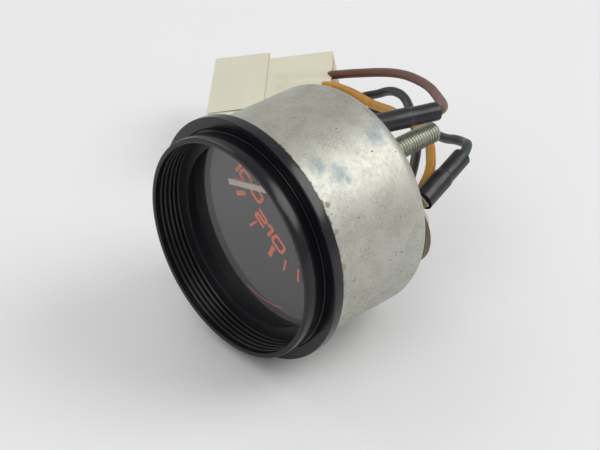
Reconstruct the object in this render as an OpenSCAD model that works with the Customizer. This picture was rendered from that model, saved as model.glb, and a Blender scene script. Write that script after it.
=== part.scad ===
// Electric water temperature gauge for a 52 mm panel hole, with a deep anti-glare hood.
// The dial looks towards -Y, the terminals point towards +Y, and the flange rests on the ground at z = 0.

/* [Case] */
// Outer radius of the can, for a 52 mm panel hole
can_r = 26; // [22:0.1:40]
// Depth from the back of the flange to the outside of the back plate
can_depth = 28.6; // [22:0.1:50]
// Sheet thickness of the can
can_wall = 0.6; // [0.4:0.05:1.2]
// Radius of the rounded rear edge of the can
can_round = 4.2; // [1:0.1:6]

/* [Hood and flange] */
// Depth of the hood in front of the flange
hood_depth = 5.3; // [4:0.1:20]
// Thickness of the hood's thin front wall
hood_wall = 1.2; // [0.8:0.05:2]
// How far the hood's outside lies within the can's outside
hood_inset = 0.7; // [0.2:0.05:1]
// Depth of the anti-glare rings
ring_depth = 0.25; // [0.1:0.01:0.4]
// Number of anti-glare rings
ring_count = 5; // [3:1:5]
// How far the rolled flange stands out past the can
flange_reach = 2; // [1.6:0.1:5]
// Thickness of the rolled flange from front to back
flange_depth = 2.5; // [2.2:0.1:4]
// Sheet thickness of the rolled flange
flange_sheet = 0.5; // [0.3:0.05:0.6]
// Width of the flat black ring between the hood and the glass
gasket_width = 3.8; // [1:0.1:5]

/* [Dial] */
// Thickness of the glass
glass_thick = 2; // [1:0.1:3]
// Gap between the glass and the dial
dial_gap = 3.05; // [2.4:0.05:6]
// Thickness of the dial plate
dial_thick = 0.6; // [0.4:0.05:1]
// Turn of the whole instrument about its own axis, clockwise from the front
dial_turn = 36.5; // [-180:0.5:180]
// Distance of the pointer's pivot above the middle of the dial
pivot_up = 17.7; // [10:0.1:18]
// Distance of the pointer's pivot to the right of the middle of the dial
pivot_right = 0.6; // [-2:0.1:2]

/* [Pointer] */
// Length of the pointer from its pivot
pointer_len = 22.9; // [15:0.1:30]
// Width of the pointer
pointer_w = 1.4; // [0.6:0.1:2]
// Thickness of the pointer
pointer_thick = 0.4; // [0.2:0.05:0.6]
// Angle of the pointer from straight down when cold, to the left
pointer_cold = 39; // [20:0.5:45]
// Radius of the pointer's shaft
shaft_r = 0.6; // [0.4:0.05:1]
// Radial running clearance of the shaft in its bearings
shaft_clear = 0.05; // [0.02:0.01:0.1]

/* [Movement] */
// Distance from the front of the dial to the front of the movement plate
plate_back = 4.8; // [3:0.1:8]
// Thickness of the movement plate
plate_thick = 1.2; // [0.8:0.1:2]
// Free length of the heated bimetal leg
leg_len = 24; // [18:0.1:26]
// Width of the bimetal strip
leg_w = 4; // [2:0.1:5]
// Thickness of the bimetal strip
leg_thick = 0.4; // [0.2:0.05:0.6]
// Distance of the drive pin below the pointer's shaft
pin_drop = 2.6; // [2.3:0.05:3]
// Distance between the two legs of the bimetal
leg_gap = 5; // [4:0.1:7]

/* [Rear fittings] */
// Distance of each fixing stud from the middle of the case
stud_pitch_r = 14.1; // [12:0.1:17]
// Outer radius of the thread on the fixing studs
stud_r = 2.45; // [2:0.05:3]
// Length of the fixing studs behind the back plate
stud_len = 18.6; // [10:0.1:30]
// Width of a terminal blade
blade_w = 2.8; // [2:0.1:6.3]
// Thickness of a terminal blade
blade_thick = 0.5; // [0.3:0.05:0.8]
// Radius of the lamp holder's metal shell
lamp_shell_r = 6; // [5:0.1:7]
// Radius of the lamp holder's insulating disc
lamp_disc_r = 8.8; // [7:0.1:10]
// Radius of the lamp holder's moulded cap
lamp_cap_r = 4.5; // [3.5:0.1:5]

/* [Leads] */
// Outer diameter of the insulated leads
wire_d = 2.3; // [1.5:0.1:2.6]
// Length of a receptacle sleeve on the upper terminal
sleeve_1_len = 15.8; // [15:0.1:24]
// Length of a receptacle sleeve on the side terminal
sleeve_2_len = 15.6; // [15:0.1:24]
// Length of the tape flag along the leads
tag_len = 32; // [20:1:60]
// Depth of the tape flag across the leads
tag_w = 32; // [30:1:60]
// Thickness of the folded tape flag
tag_thick = 0.8; // [0.3:0.1:2]

/* [Hidden] */
$fn = 96;

// Radii worked out from the case
flange_r = can_r + flange_reach;
can_in = can_r - can_wall;
hood_r = can_r - hood_inset;
hood_in = hood_r - hood_wall;
glass_r = can_in - 0.3;
spacer_in = glass_r - 1.2;
dial_r = glass_r;

// Stations along the axis, measured from the front lip of the hood
flange_y = hood_depth;
hood_foot = 1;
hood_foot_y = flange_y + flange_sheet;
rim_y = hood_foot_y + hood_foot;
flange_back = flange_y + flange_depth;
rim_back = flange_back - flange_sheet;

// The can's wall starts with a small fillet, so the flange's back leaves a narrow groove round it
neck = flange_sheet;
groove_r = can_r + neck + 0.1;

gasket_thick = 0.35;
glass_y = rim_y + gasket_thick;
glass_back = glass_y + glass_thick;
dial_y = glass_back + dial_gap;
dial_back = dial_y + dial_thick;
plate_y = dial_y + plate_back;
plate_back_y = plate_y + plate_thick;
back_y = flange_back + can_depth;
back_in = back_y - can_wall;
stud_tip = back_y + stud_len;
axis_mid = stud_tip / 2;

// The pointer, and the bimetal movement behind the dial
pointer_y = dial_y - 1.2;
hub_thick = 0.8;
hub_y = pointer_y - hub_thick;
leg_y = plate_back_y + 2.2;
leg_back = leg_y + leg_w;
lever_y = plate_back_y + 0.8;
lever_thick = 0.8;
bridge_y = leg_back + 1.6;
bridge_thick = 1;
hinge_drop = pin_drop + leg_len;
pin_r = 0.35;
leg_cold = asin(hinge_drop * sin(pointer_cold) / leg_len) - pointer_cold;
screw_r = 1;
screw_head_r = 1.9;
screw_head = 0.7;
dial_screw_at = [[-12, 13], [12, 13]];
dial_post_r = 1.8;
bridge_post_at = [[-7, 0], [7, 0]];
pillar_r = 2;
pillar_at = [[-15, 10], [-9, -16.5], [14.5, -13]];
move_screw_r = 1.4;
move_head_r = 2.6;
move_head = 1.2;

// The rear fittings, as places on the dial plane: right and up
stud_at = [0, stud_pitch_r];
shank_r = stud_r + 0.55;
blade_1_at = [-6.7, 17.1];
blade_2_at = [13.6, 13.1];
lamp_at = [13.1, -1.2];
insulator_r = 3.4;
insulator_in_r = 2.85;
insulator_neck = 2.2;
insulator_clear = 0.1;
insulator_out = 1;
window_r = 8;

// Each blade leaves the back plate and then leans by these slopes: across X, up Z
blade_1_lean = [0.277, -0.045];
blade_2_lean = [-0.19, 0.225];
bend_out = 1.6;
blade_out_1 = 9;
blade_out_2 = 9;
sleeve_1_out = 1.2;
sleeve_2_out = 4.2;
blade_1_spin = 0;
blade_2_spin = 50;
crimp_inset = 3;
box_w = blade_w + 0.8;
box_h = blade_thick + 1.1;
crimp_end_1 = sleeve_1_out + sleeve_1_len - crimp_inset;
crimp_end_2 = sleeve_2_out + sleeve_2_len - crimp_inset;
wire_r = wire_d / 2;
lamp_disc_y = back_y + 5.6;
lamp_disc_thick = 2.2;
lamp_cap_y = lamp_disc_y + lamp_disc_thick;
lamp_cap_depth = 4.8;
lamp_tube_in = 6;
bulb_r = 4.5;
bulb_base_r = 4.2;
bulb_base_len = 8;
bulb_base_y = lamp_disc_y - 1.2 - bulb_base_len;
anchor_at = [pivot_right + leg_gap, pivot_up - pin_drop - 3];
anchor_r = 1.8;

// A place on the dial plane at station y, in the model's own frame
function world(at, y) = [
    at[0] * cos(dial_turn) + at[1] * sin(dial_turn), y - axis_mid,
    flange_r - at[0] * sin(dial_turn) + at[1] * cos(dial_turn)];

// A place on a leaning terminal, a distance out past its bend
function along_blade(at, lean, out) = world(at, back_y + bend_out)
    + out * [lean[0], 1, lean[1]] / norm([lean[0], 1, lean[1]]);

// The first points of each lead: where it is crimped, or where it enters the lamp cap
brown_start = [for (out = [0, crimp_inset]) along_blade(blade_1_at, blade_1_lean, crimp_end_1 + out)];
green_start = [for (out = [0, crimp_inset]) along_blade(blade_2_at, blade_2_lean, crimp_end_2 + out)];
cap_mid = world(lamp_at, lamp_cap_y + lamp_cap_depth / 2);
black_start = [for (up = [2, 5]) cap_mid + [-1.7, 0, up]];
yellow_start = [for (up = [2, 5]) cap_mid + [1.7, 0, up]];

// Routes of the free leads, by hand, in the model's own frame
brown_rest = [
    [8.5, 29.2, 44.3], [6.4, 32, 43.2], [3.5, 34.7, 42], [0.3, 37.2, 40.8], [-3, 39.8, 39.6],
    [-6.8, 42.3, 38.6], [-10.8, 44.5, 37.5], [-14.9, 46.5, 36.2], [-19, 48.2, 34.9],
    [-23.2, 49.7, 33.4], [-27.5, 50.9, 31.7], [-31.7, 51.8, 29.9], [-36, 52.4, 28],
    [-40.2, 52.8, 26.1], [-44.5, 53, 24.2], [-48.7, 53.4, 22.2], [-52.6, 53, 20.6],
    [-56.3, 50.7, 19.8], [-59.5, 47.3, 19.4]];
yellow_rest = [
    [11.5, 20.5, 28], [10.5, 24, 31], [7.5, 27.5, 32.5], [3.5, 31, 33],
    [-1, 33.5, 32.5], [-5.5, 36, 32], [-10, 38, 31], [-14.5, 39.5, 29.5], [-19, 41.5, 28],
    [-23.5, 43, 26.5], [-28, 44.5, 25], [-33, 46, 24], [-37.5, 47.5, 23], [-42.5, 48.5, 22],
    [-47.5, 48.5, 21], [-52, 46.5, 20], [-55.5, 43, 19.5]];
green_rest = [
    [13, 33.5, 35], [10, 36, 33.5], [6, 37.5, 32], [2, 39, 30],
    [-2, 40.5, 28.5], [-6, 42, 27.5], [-10, 43.5, 26], [-14, 44.5, 25], [-18.5, 45.5, 24],
    [-22.5, 46.5, 23], [-26.5, 47, 22], [-31, 47, 20.5], [-35, 46.5, 19.5], [-38.5, 45.5, 19],
    [-42, 43, 19.5], [-45.5, 39.5, 20], [-49, 36.5, 19.5]];
black_rest = [
    [7.5, 20.5, 27.5], [5, 24.5, 29], [2, 28.5, 29.5], [-1.5, 32.5, 29],
    [-5, 36, 28.5], [-8.5, 39.5, 28], [-12.5, 42.5, 28], [-16.5, 45.5, 28.5], [-20.5, 48, 28.5],
    [-25, 50, 27.5], [-29.5, 51.5, 25.5], [-33.5, 52, 23], [-38, 52, 20.5], [-42, 50.5, 18.5],
    [-45.5, 47, 19], [-49, 43, 20], [-52.5, 39.5, 19.5]];
tag_corner = [-62, 63.5, 20.3];
tag_tilt = 5.9;

module on_axis(y) {
    translate([0, y - axis_mid, flange_r]) rotate([-90, 0, 0]) children();
}

module on_dial(at, y) {
    on_axis(y) rotate([0, 0, dial_turn]) translate([at[0], -at[1], 0]) children();
}

module ring(r_out, r_in, y, depth) {
    on_axis(y) difference() {
        cylinder(r = r_out, h = depth);
        translate([0, 0, -1]) cylinder(r = r_in, h = depth + 2);
    }
}

// Points of a quarter round of radius r about c, from angle a to b
function arc(c, r, a, b, n) = [for (i = [0:n])
    let (turn = a + (b - a) * i / n) c + r * [cos(turn), sin(turn)]];

module revolve(points) {
    on_axis(0) rotate_extrude($fn = 120) polygon(points);
}

module hood() {
    edge = 0.2;
    ring_from = 0.65;
    ring_pitch = (rim_y - ring_from - 0.05) / ring_count;
    neck_depth = 1.7;
    neck_cut = 0.45;
    rings = [for (i = [ring_count - 1:-1:0]) each [
        [hood_in, ring_from + (i + 1) * ring_pitch],
        [hood_in + ring_depth, ring_from + (i + 0.5) * ring_pitch]]];
    color("#1b1a1f") revolve(concat(
        arc([hood_in + edge, edge], edge, 180, 270, 4), arc([hood_r - edge, edge], edge, 270, 360, 4),
        [[hood_r, flange_y - neck_depth],
         [hood_r - neck_cut, flange_y - neck_depth + 0.15],
         [hood_r - neck_cut, flange_y],
         [hood_r - 0.05, flange_y + 0.05],
         [hood_r - 0.05, hood_foot_y],
         [flange_r - flange_sheet - 0.2, hood_foot_y],
         [flange_r - flange_sheet - 0.2, rim_y],
         [hood_in, rim_y]],
        rings,
        [[hood_in, ring_from]]));
}

module bezel_ring() {
    fold = 0.25;
    hole = hood_r + 0.1;
    color("#201e24") revolve(concat(
        [[hole, flange_y]],
        arc([flange_r - fold, flange_y + fold], fold, -90, 0, 5),
        arc([flange_r - fold, flange_back - fold], fold, 0, 90, 5),
        [[groove_r, flange_back],
         [groove_r, rim_back],
         [flange_r - flange_sheet, rim_back],
         [flange_r - flange_sheet, hood_foot_y],
         [hole, hood_foot_y]]));
}

// Points of the can's fillet, from the rim to the wall
function neck_arc() = arc([can_r + neck, rim_back + neck], neck, 270, 180, 4);

// Fills the groove, with a thin smear up the can's wall
module sealant_bead() {
    proud = 0.12;
    smear_thick = 0.2;
    smear = 1.4;
    color("#b9a98c") revolve(concat(
        neck_arc(),
        [[can_r, flange_back + smear], [can_r + smear_thick / 2, flange_back + smear],
         [can_r + smear_thick, flange_back + smear * 0.7], [can_r + smear_thick, flange_back + proud],
         [groove_r, flange_back + proud / 2], [groove_r, rim_back]]));
}

module glass_gasket() {
    color("#2a2a2a") ring(glass_r, glass_r - gasket_width, rim_y, gasket_thick);
}

module glass() {
    edge = 0.25;
    color("#dfe6e6", 0.3) revolve([
        [0, glass_y], [glass_r - edge, glass_y], [glass_r, glass_y + edge],
        [glass_r, glass_back - edge], [glass_r - edge, glass_back], [0, glass_back]]);
}

module dial_spacer() {
    color("#161616") ring(glass_r, spacer_in, glass_back, dial_gap);
}

module dial() {
    color("#15151a") difference() {
        ring(dial_r, 0.01, dial_y, dial_thick);
        on_dial([pivot_right, pivot_up], dial_y - 1) cylinder(r = shaft_r + 0.6, h = dial_thick + 2);
        for (at = dial_screw_at)
            on_dial(at, dial_y - 1) cylinder(r = screw_r + 0.1, h = dial_thick + 2);
        on_axis(dial_y - 1) cylinder(r = 0.6, h = dial_thick + 2);
    }
}

module dial_screws() {
    slot = 0.35;
    color("#8f8d86") for (at = dial_screw_at) on_dial(at, dial_y - screw_head) difference() {
        union() {
            cylinder(r = screw_head_r, h = screw_head);
            cylinder(r = screw_r, h = screw_head + plate_back - 0.6);
        }
        translate([-slot / 2, -screw_head_r - 1, -1]) cube([slot, 2 * screw_head_r + 2, 1.3]);
    }
}

module pointer() {
    boss_r = 2.2;
    tail = 4;
    color("#f0ddd0") on_dial([pivot_right, pivot_up], pointer_y) rotate([0, 0, pointer_cold])
        difference() {
            union() {
                cylinder(r = boss_r, h = pointer_thick);
                translate([-pointer_w / 2, -tail, 0]) cube([pointer_w, tail + pointer_len, pointer_thick]);
            }
            translate([0, 0, -1]) cylinder(r = shaft_r + 0.02, h = pointer_thick + 2);
        }
}

module pointer_hub() {
    hub_r = 3;
    color("#1d1c20") on_dial([pivot_right, pivot_up], hub_y) difference() {
        rotate_extrude() polygon(concat(
            [[0, 0]], arc([hub_r - 0.4, 0.4], 0.4, -90, 0, 4), [[hub_r, hub_thick], [0, hub_thick]]));
        translate([0, 0, 0.4]) cylinder(r = shaft_r + 0.02, h = 2);
    }
}

module pointer_shaft() {
    color("#b9b5a6") on_dial([pivot_right, pivot_up], hub_y + 0.45)
        cylinder(r = shaft_r, h = bridge_y + bridge_thick + 0.6 - hub_y - 0.45);
}

module pointer_lever() {
    slot_w = 1.4;
    slot_in = pin_drop - 0.5;
    slot_out = pin_drop + 1.3;
    end_r = slot_w / 2 + 0.8;
    color("#b08d4a") on_dial([pivot_right, pivot_up], lever_y) rotate([0, 0, pointer_cold])
        difference() {
            union() {
                cylinder(r = 1.6, h = lever_thick);
                translate([-end_r, 0, 0]) cube([2 * end_r, slot_out, lever_thick]);
                translate([0, slot_out, 0]) cylinder(r = end_r, h = lever_thick);
            }
            translate([0, 0, -1]) cylinder(r = shaft_r + 0.02, h = lever_thick + 2);
            translate([-slot_w / 2, slot_in, -1]) cube([slot_w, slot_out - slot_in, lever_thick + 2]);
            translate([0, slot_out, -1]) cylinder(r = slot_w / 2, h = lever_thick + 2);
        }
}

module can() {
    outer = arc([can_r - can_round, back_y - can_round], can_round, 0, 90, 8);
    inner = arc([can_r - can_round, back_y - can_round], can_round - can_wall, 90, 0, 8);
    color("#a9aba2") difference() {
        revolve(concat(
            [[can_in, rim_y], [flange_r - flange_sheet - 0.2, rim_y],
             [flange_r - flange_sheet - 0.2, rim_back]],
            neck_arc(), outer, [[0, back_y], [0, back_in]], inner));
        rear_hole(lamp_at, lamp_shell_r + 0.1);
        rear_hole(stud_at, shank_r + 0.02);
        rear_hole(-stud_at, shank_r + 0.02);
        rear_hole(blade_1_at, insulator_neck + insulator_clear);
        rear_hole(blade_2_at, insulator_neck + insulator_clear);
        for (at = pillar_at) rear_hole(at, move_screw_r + 0.1);
    }
}

module rear_hole(at, r) {
    on_dial(at, back_in - 1) cylinder(r = r, h = can_wall + 2);
}

module movement_plate() {
    plate_r = can_in - 0.4;
    color("#c2b280") difference() {
        union() {
            ring(plate_r, 0.01, plate_y, plate_thick);
            for (at = dial_screw_at)
                on_dial(at, dial_back) cylinder(r = dial_post_r, h = plate_y - dial_back + 0.1);
        }
        on_dial([pivot_right, pivot_up], plate_y - 1)
            cylinder(r = shaft_r + shaft_clear, h = plate_thick + 2);
        on_dial(lamp_at, plate_y - 1) cylinder(r = window_r, h = plate_thick + 2);
        on_axis(plate_y - 1) cylinder(r = 0.6, h = plate_thick + 2);
        for (at = dial_screw_at)
            on_dial(at, dial_back - 1)
                cylinder(r = screw_r + 0.02, h = plate_back - dial_thick + plate_thick + 2);
    }
}

module shaft_bridge() {
    post_r = 1.5;
    strap_w = 4.4;
    reach = bridge_post_at[1][0];
    color("#c8b888") difference() {
        union() {
            for (at = bridge_post_at)
                on_dial([pivot_right + at[0], pivot_up + at[1]], plate_back_y)
                    cylinder(r = post_r, h = bridge_y - plate_back_y);
            on_dial([pivot_right, pivot_up], bridge_y)
                translate([-reach, -strap_w / 2, 0]) cube([2 * reach, strap_w, bridge_thick]);
            for (at = bridge_post_at)
                on_dial([pivot_right + at[0], pivot_up + at[1]], bridge_y)
                    cylinder(r = strap_w / 2, h = bridge_thick);
        }
        on_dial([pivot_right, pivot_up], bridge_y - 1)
            cylinder(r = shaft_r + shaft_clear, h = bridge_thick + 2);
        for (at = bridge_post_at)
            on_dial([pivot_right + at[0], pivot_up + at[1]], bridge_y - 2)
                cylinder(r = 0.7, h = bridge_thick + 3);
    }
}

module bridge_screws() {
    color("#8f8d86") for (at = bridge_post_at)
        on_dial([pivot_right + at[0], pivot_up + at[1]], bridge_y - 1.8) union() {
            cylinder(r = 0.68, h = 2 + bridge_thick);
            translate([0, 0, 1.8 + bridge_thick]) difference() {
                cylinder(r = 1.3, h = 0.8);
                translate([-0.15, -2, 0.45]) cube([0.3, 4, 1]);
            }
        }
}

// The bimetal's moving leg, drawn straight down from the drive pin and turned to its cold place
module leg_frame(y) {
    on_dial([pivot_right, pivot_up - hinge_drop], y) rotate([0, 0, -leg_cold]) children();
}

module heated_leg() {
    pin_reach = leg_y - lever_y + 0.3;
    eye = 0.55;
    color("#8c8f96") union() {
        leg_frame(leg_y) cylinder(r = eye, h = leg_w);
        leg_frame(leg_y) translate([-leg_thick / 2, -leg_len, 0]) cube([leg_thick, leg_len, leg_w]);
        leg_frame(leg_y - pin_reach) translate([0, -leg_len, 0]) cylinder(r = pin_r, h = pin_reach + leg_w);
    }
}

module heater_winding() {
    from = 5;
    wound = 13;
    wrap = 0.45;
    lap = 0.02;
    out = leg_thick + 2 * wrap;
    color("#d8cfae") leg_frame(leg_y - wrap) difference() {
        translate([-out / 2, -from - wound, 0]) cube([out, wound, leg_w + 2 * wrap]);
        translate([-leg_thick / 2 - lap, -from - wound - 1, wrap - lap])
            cube([leg_thick + 2 * lap, wound + 2, leg_w + 2 * lap]);
    }
}

module compensating_leg() {
    top = anchor_at[1] - 0.4;
    bottom = pivot_up - hinge_drop;
    bridge_gap = 0.85;
    color("#84878e") union() {
        on_dial([anchor_at[0] - leg_thick / 2, top], leg_y) cube([leg_thick, top - bottom, leg_w]);
        on_dial([pivot_right + bridge_gap, bottom + leg_thick / 2], leg_y)
            cube([leg_gap - bridge_gap + leg_thick / 2, leg_thick, leg_w]);
    }
}

module anchor_post() {
    slit = 0.04;
    color("#b5a678") difference() {
        on_dial(anchor_at, plate_back_y) cylinder(r = anchor_r, h = leg_back + 0.6 - plate_back_y);
        on_dial([anchor_at[0] - leg_thick / 2 - slit, anchor_at[1] - 0.3], leg_y - slit)
            cube([leg_thick + 2 * slit, anchor_r + 1, leg_w + 5]);
    }
}

module movement_pillars() {
    color("#b9b39a") for (at = pillar_at) on_dial(at, plate_back_y) difference() {
        cylinder(r = pillar_r, h = back_in - plate_back_y);
        translate([0, 0, back_in - plate_back_y - 6]) cylinder(r = move_screw_r + 0.02, h = 7);
    }
}

module movement_screws() {
    slot = 0.5;
    color("#9a9c96") for (at = pillar_at) on_dial(at, back_in - 5) difference() {
        union() {
            cylinder(r = move_screw_r, h = 5 + can_wall);
            translate([0, 0, 5 + can_wall]) cylinder(r = move_head_r, h = move_head);
        }
        translate([-slot / 2, -move_head_r - 1, 5 + can_wall + move_head / 2])
            cube([slot, 2 * move_head_r + 2, 2]);
    }
}

// A fixing stud: round head inside the can, a shank pressed through the back plate, and the thread, left at its
// outer size
module stud(at) {
    head_r = shank_r + 0.8;
    head_thick = 1.2;
    tip = 0.6;
    long = stud_tip - back_in + head_thick;
    on_dial(at, back_in - head_thick) rotate_extrude() polygon([
        [0, 0], [head_r, 0], [head_r, head_thick], [shank_r, head_thick], [shank_r, head_thick + can_wall],
        [stud_r, head_thick + can_wall], [stud_r, long - tip], [stud_r - tip, long], [0, long]]);
}

module stud_upper() { color("#a3a292") stud(stud_at); }

module stud_lower() { color("#a3a292") stud(-stud_at); }

// Frame of a terminal past its bend: local z runs along the blade, local x across its width
module past_bend(at, lean, spin) {
    on_dial(at, back_y + bend_out) rotate([0, 0, -dial_turn])
        rotate([0, 0, atan2(-lean[1], lean[0])]) rotate([0, atan(norm(lean)), 0])
        rotate([0, 0, spin - atan2(-lean[1], lean[0])]) children();
}

module blade(at, lean, spin, out) {
    inside = 2.4;
    knee = blade_thick / 2 + 0.02;
    union() {
        on_dial(at, back_in - inside) rotate([0, 0, spin - dial_turn])
            translate([-blade_w / 2, -blade_thick / 2, 0])
                cube([blade_w, blade_thick, inside + can_wall + bend_out]);
        on_dial(at, back_y + bend_out) rotate([0, 0, spin - dial_turn])
            translate([-blade_w / 2, 0, 0]) rotate([0, 90, 0]) cylinder(r = knee, h = blade_w, $fn = 24);
        past_bend(at, lean, spin) translate([-blade_w / 2, -blade_thick / 2, 0])
            cube([blade_w, blade_thick, out]);
    }
}

module terminal_blade_1() { color("#c9c3ad") blade(blade_1_at, blade_1_lean, blade_1_spin, blade_out_1); }

module terminal_blade_2() { color("#c9c3ad") blade(blade_2_at, blade_2_lean, blade_2_spin, blade_out_2); }

module insulator(at, spin) {
    inner = 1;
    slit = 0.05;
    difference() {
        union() {
            on_dial(at, back_in - inner) cylinder(r = insulator_in_r, h = inner);
            on_dial(at, back_in - 0.1) cylinder(r = insulator_neck, h = can_wall + 0.2);
            on_dial(at, back_y) cylinder(r = insulator_r, h = insulator_out);
        }
        on_dial(at, back_in - 3) rotate([0, 0, spin - dial_turn])
            translate([-blade_w / 2 - slit, -blade_thick / 2 - slit, 0])
                cube([blade_w + 2 * slit, blade_thick + 2 * slit, 8]);
    }
}

module terminal_insulator_1() { color("#6b4a2f") insulator(blade_1_at, blade_1_spin); }

module terminal_insulator_2() { color("#6b4a2f") insulator(blade_2_at, blade_2_spin); }

// A crimped receptacle pushed on a blade, from `from` to the crimp's end at the lead
module receptacle(at, lean, spin, from, crimp_end) {
    box_len = 6.6;
    slack = 0.04;
    barrel_r = wire_r + 0.45;
    past_bend(at, lean, spin) translate([0, 0, from]) difference() {
        union() {
            translate([-box_w / 2, -box_h / 2, 0]) cube([box_w, box_h, box_len]);
            translate([0, 0, box_len - 0.01])
                cylinder(r = barrel_r, h = crimp_end - from - box_len + 0.01, $fn = 32);
        }
        translate([-blade_w / 2 - slack, -blade_thick / 2 - slack, -1])
            cube([blade_w + 2 * slack, blade_thick + 2 * slack, box_len + 1]);
    }
}

module receptacle_1() {
    set_in = 1.4;
    color("#c7bf9c") receptacle(blade_1_at, blade_1_lean, blade_1_spin, sleeve_1_out + set_in, crimp_end_1);
}

module receptacle_2() {
    bare = 1.2;
    color("#c7bf9c") receptacle(blade_2_at, blade_2_lean, blade_2_spin, sleeve_2_out - bare, crimp_end_2);
}

// A soft two-diameter sleeve over the receptacle and the first of the lead
module sleeve(at, lean, spin, from, len) {
    near_len = len * 0.5;
    near_in = norm([box_w, box_h]) / 2 + 0.18;
    near_r = near_in + 0.2;
    far_in = wire_r + 0.5;
    far_r = far_in + 0.33;
    past_bend(at, lean, spin) translate([0, 0, from]) rotate_extrude($fn = 48) polygon([
        [near_in, 0], [near_r, 0], [near_r, near_len], [far_r, near_len + 1.2],
        [far_r, len], [far_in, len], [far_in, near_len + 0.6], [near_in, near_len]]);
}

module sleeve_1() {
    color("#25232a") sleeve(blade_1_at, blade_1_lean, blade_1_spin, sleeve_1_out, sleeve_1_len);
}

module sleeve_2() {
    color("#25232a") sleeve(blade_2_at, blade_2_lean, blade_2_spin, sleeve_2_out, sleeve_2_len);
}

module lamp_shell() {
    wall = 0.4;
    color("#b4b6ae") on_dial(lamp_at, back_in - lamp_tube_in) difference() {
        union() {
            cylinder(r = lamp_shell_r, h = lamp_tube_in + lamp_disc_y - back_in);
            translate([0, 0, lamp_tube_in + can_wall]) cylinder(r = lamp_shell_r + 0.8, h = 0.5);
        }
        translate([0, 0, -1])
            cylinder(r = lamp_shell_r - wall, h = lamp_tube_in + lamp_disc_y - back_in + 2);
    }
}

module lamp_disc() {
    color("#6d4c22") on_dial(lamp_at, lamp_disc_y) union() {
        cylinder(r = lamp_disc_r, h = lamp_disc_thick);
        translate([0, 0, -1.2]) cylinder(r = lamp_shell_r - 0.5, h = 1.3);
    }
}

module lamp_cap() {
    round = 1.4;
    entry_clear = 0.06;
    color("#cfcdb8") difference() {
        on_dial(lamp_at, lamp_cap_y) rotate_extrude() polygon(concat(
            [[0, 0], [lamp_cap_r, 0]],
            arc([lamp_cap_r - round, lamp_cap_depth - round], round, 0, 90, 6),
            [[0, lamp_cap_depth]]));
        for (start = [black_start, yellow_start])
            translate(start[0]) cylinder(r = wire_r + entry_clear, h = 6, $fn = 32);
    }
}

module lamp_bulb() {
    straight = 3;
    neck_r = 3;
    color("#e8ecea", 0.4) on_dial(lamp_at, bulb_base_y) rotate([180, 0, 0])
        rotate_extrude() polygon(concat(
            [[0, 0], [neck_r, 0], [bulb_r, straight]],
            arc([0, straight + 1], bulb_r, 0, 90, 10)));
}

module lamp_bulb_base() {
    color("#b7a469") on_dial(lamp_at, bulb_base_y) cylinder(r = bulb_base_r, h = bulb_base_len);
}

// A round tube swept along a route's points, with an open bend at each of them
function unit(v) = v / norm(v);
function tangent(p, i) = let (n = len(p) - 1)
    unit(i == 0 ? p[1] - p[0] : i == n ? p[n] - p[n - 1] : unit(p[i] - p[i - 1]) + unit(p[i + 1] - p[i]));

// Vectors square to each tangent t[i], carried along from u without twisting
function carried(t, i, u) = let (v = unit(u - (u * t[i]) * t[i]))
    i == len(t) - 1 ? [v] : concat([v], carried(t, i + 1, v));

module lead(route) {
    sides = 8;
    n = len(route);
    t = [for (i = [0:n - 1]) tangent(route, i)];
    us = carried(t, 0, [1, 0, 0]);
    rings = [for (i = [0:n - 1]) let (
        u = us[i],
        v = cross(t[i], u))
        each [for (k = [0:sides - 1])
            route[i] + wire_r * (cos(360 * k / sides) * u + sin(360 * k / sides) * v)]];
    sides_up = [for (i = [0:n - 2]) for (k = [0:sides - 1])
        let (a = i * sides + k, b = i * sides + (k + 1) % sides)
            each [[a, b + sides, b], [a, a + sides, b + sides]]];
    start = [for (k = [1:sides - 2]) [0, k, k + 1]];
    last = (n - 1) * sides;
    end = [for (k = [1:sides - 2]) [last, last + k + 1, last + k]];
    polyhedron(points = rings, faces = concat(sides_up, start, end));
}

module brown_lead() { color("#7d4c3c") lead(concat(brown_start, brown_rest)); }

module green_lead() { color("#2c443f") lead(concat(green_start, green_rest)); }

module black_lead() { color("#2a2830") lead(concat(black_start, black_rest)); }

module yellow_lead() { color("#c98a1c") lead(concat(yellow_start, yellow_rest)); }

// The folded tape flag that holds the ends of the leads, swung level with them
module lead_tag() {
    color("#e3d9b6") translate(tag_corner) rotate([0, 0, 45]) rotate([0, -tag_tilt, 0])
        translate([-tag_len, -tag_w, -tag_thick / 2]) cube([tag_len, tag_w, tag_thick]);
}

hood();
bezel_ring();
sealant_bead();
glass_gasket();
glass();
dial_spacer();
dial();
dial_screws();
pointer();
pointer_hub();
pointer_shaft();
pointer_lever();
can();
movement_plate();
shaft_bridge();
bridge_screws();
heated_leg();
heater_winding();
compensating_leg();
anchor_post();
movement_pillars();
movement_screws();
stud_upper();
stud_lower();
terminal_blade_1();
terminal_blade_2();
terminal_insulator_1();
terminal_insulator_2();
lamp_shell();
lamp_disc();
lamp_cap();
lamp_bulb();
lamp_bulb_base();
receptacle_1();
receptacle_2();
sleeve_1();
sleeve_2();
brown_lead();
green_lead();
black_lead();
yellow_lead();
lead_tag();
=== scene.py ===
import math
import bmesh
import bpy
import numpy as np
from mathutils import Matrix, Vector, noise


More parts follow.
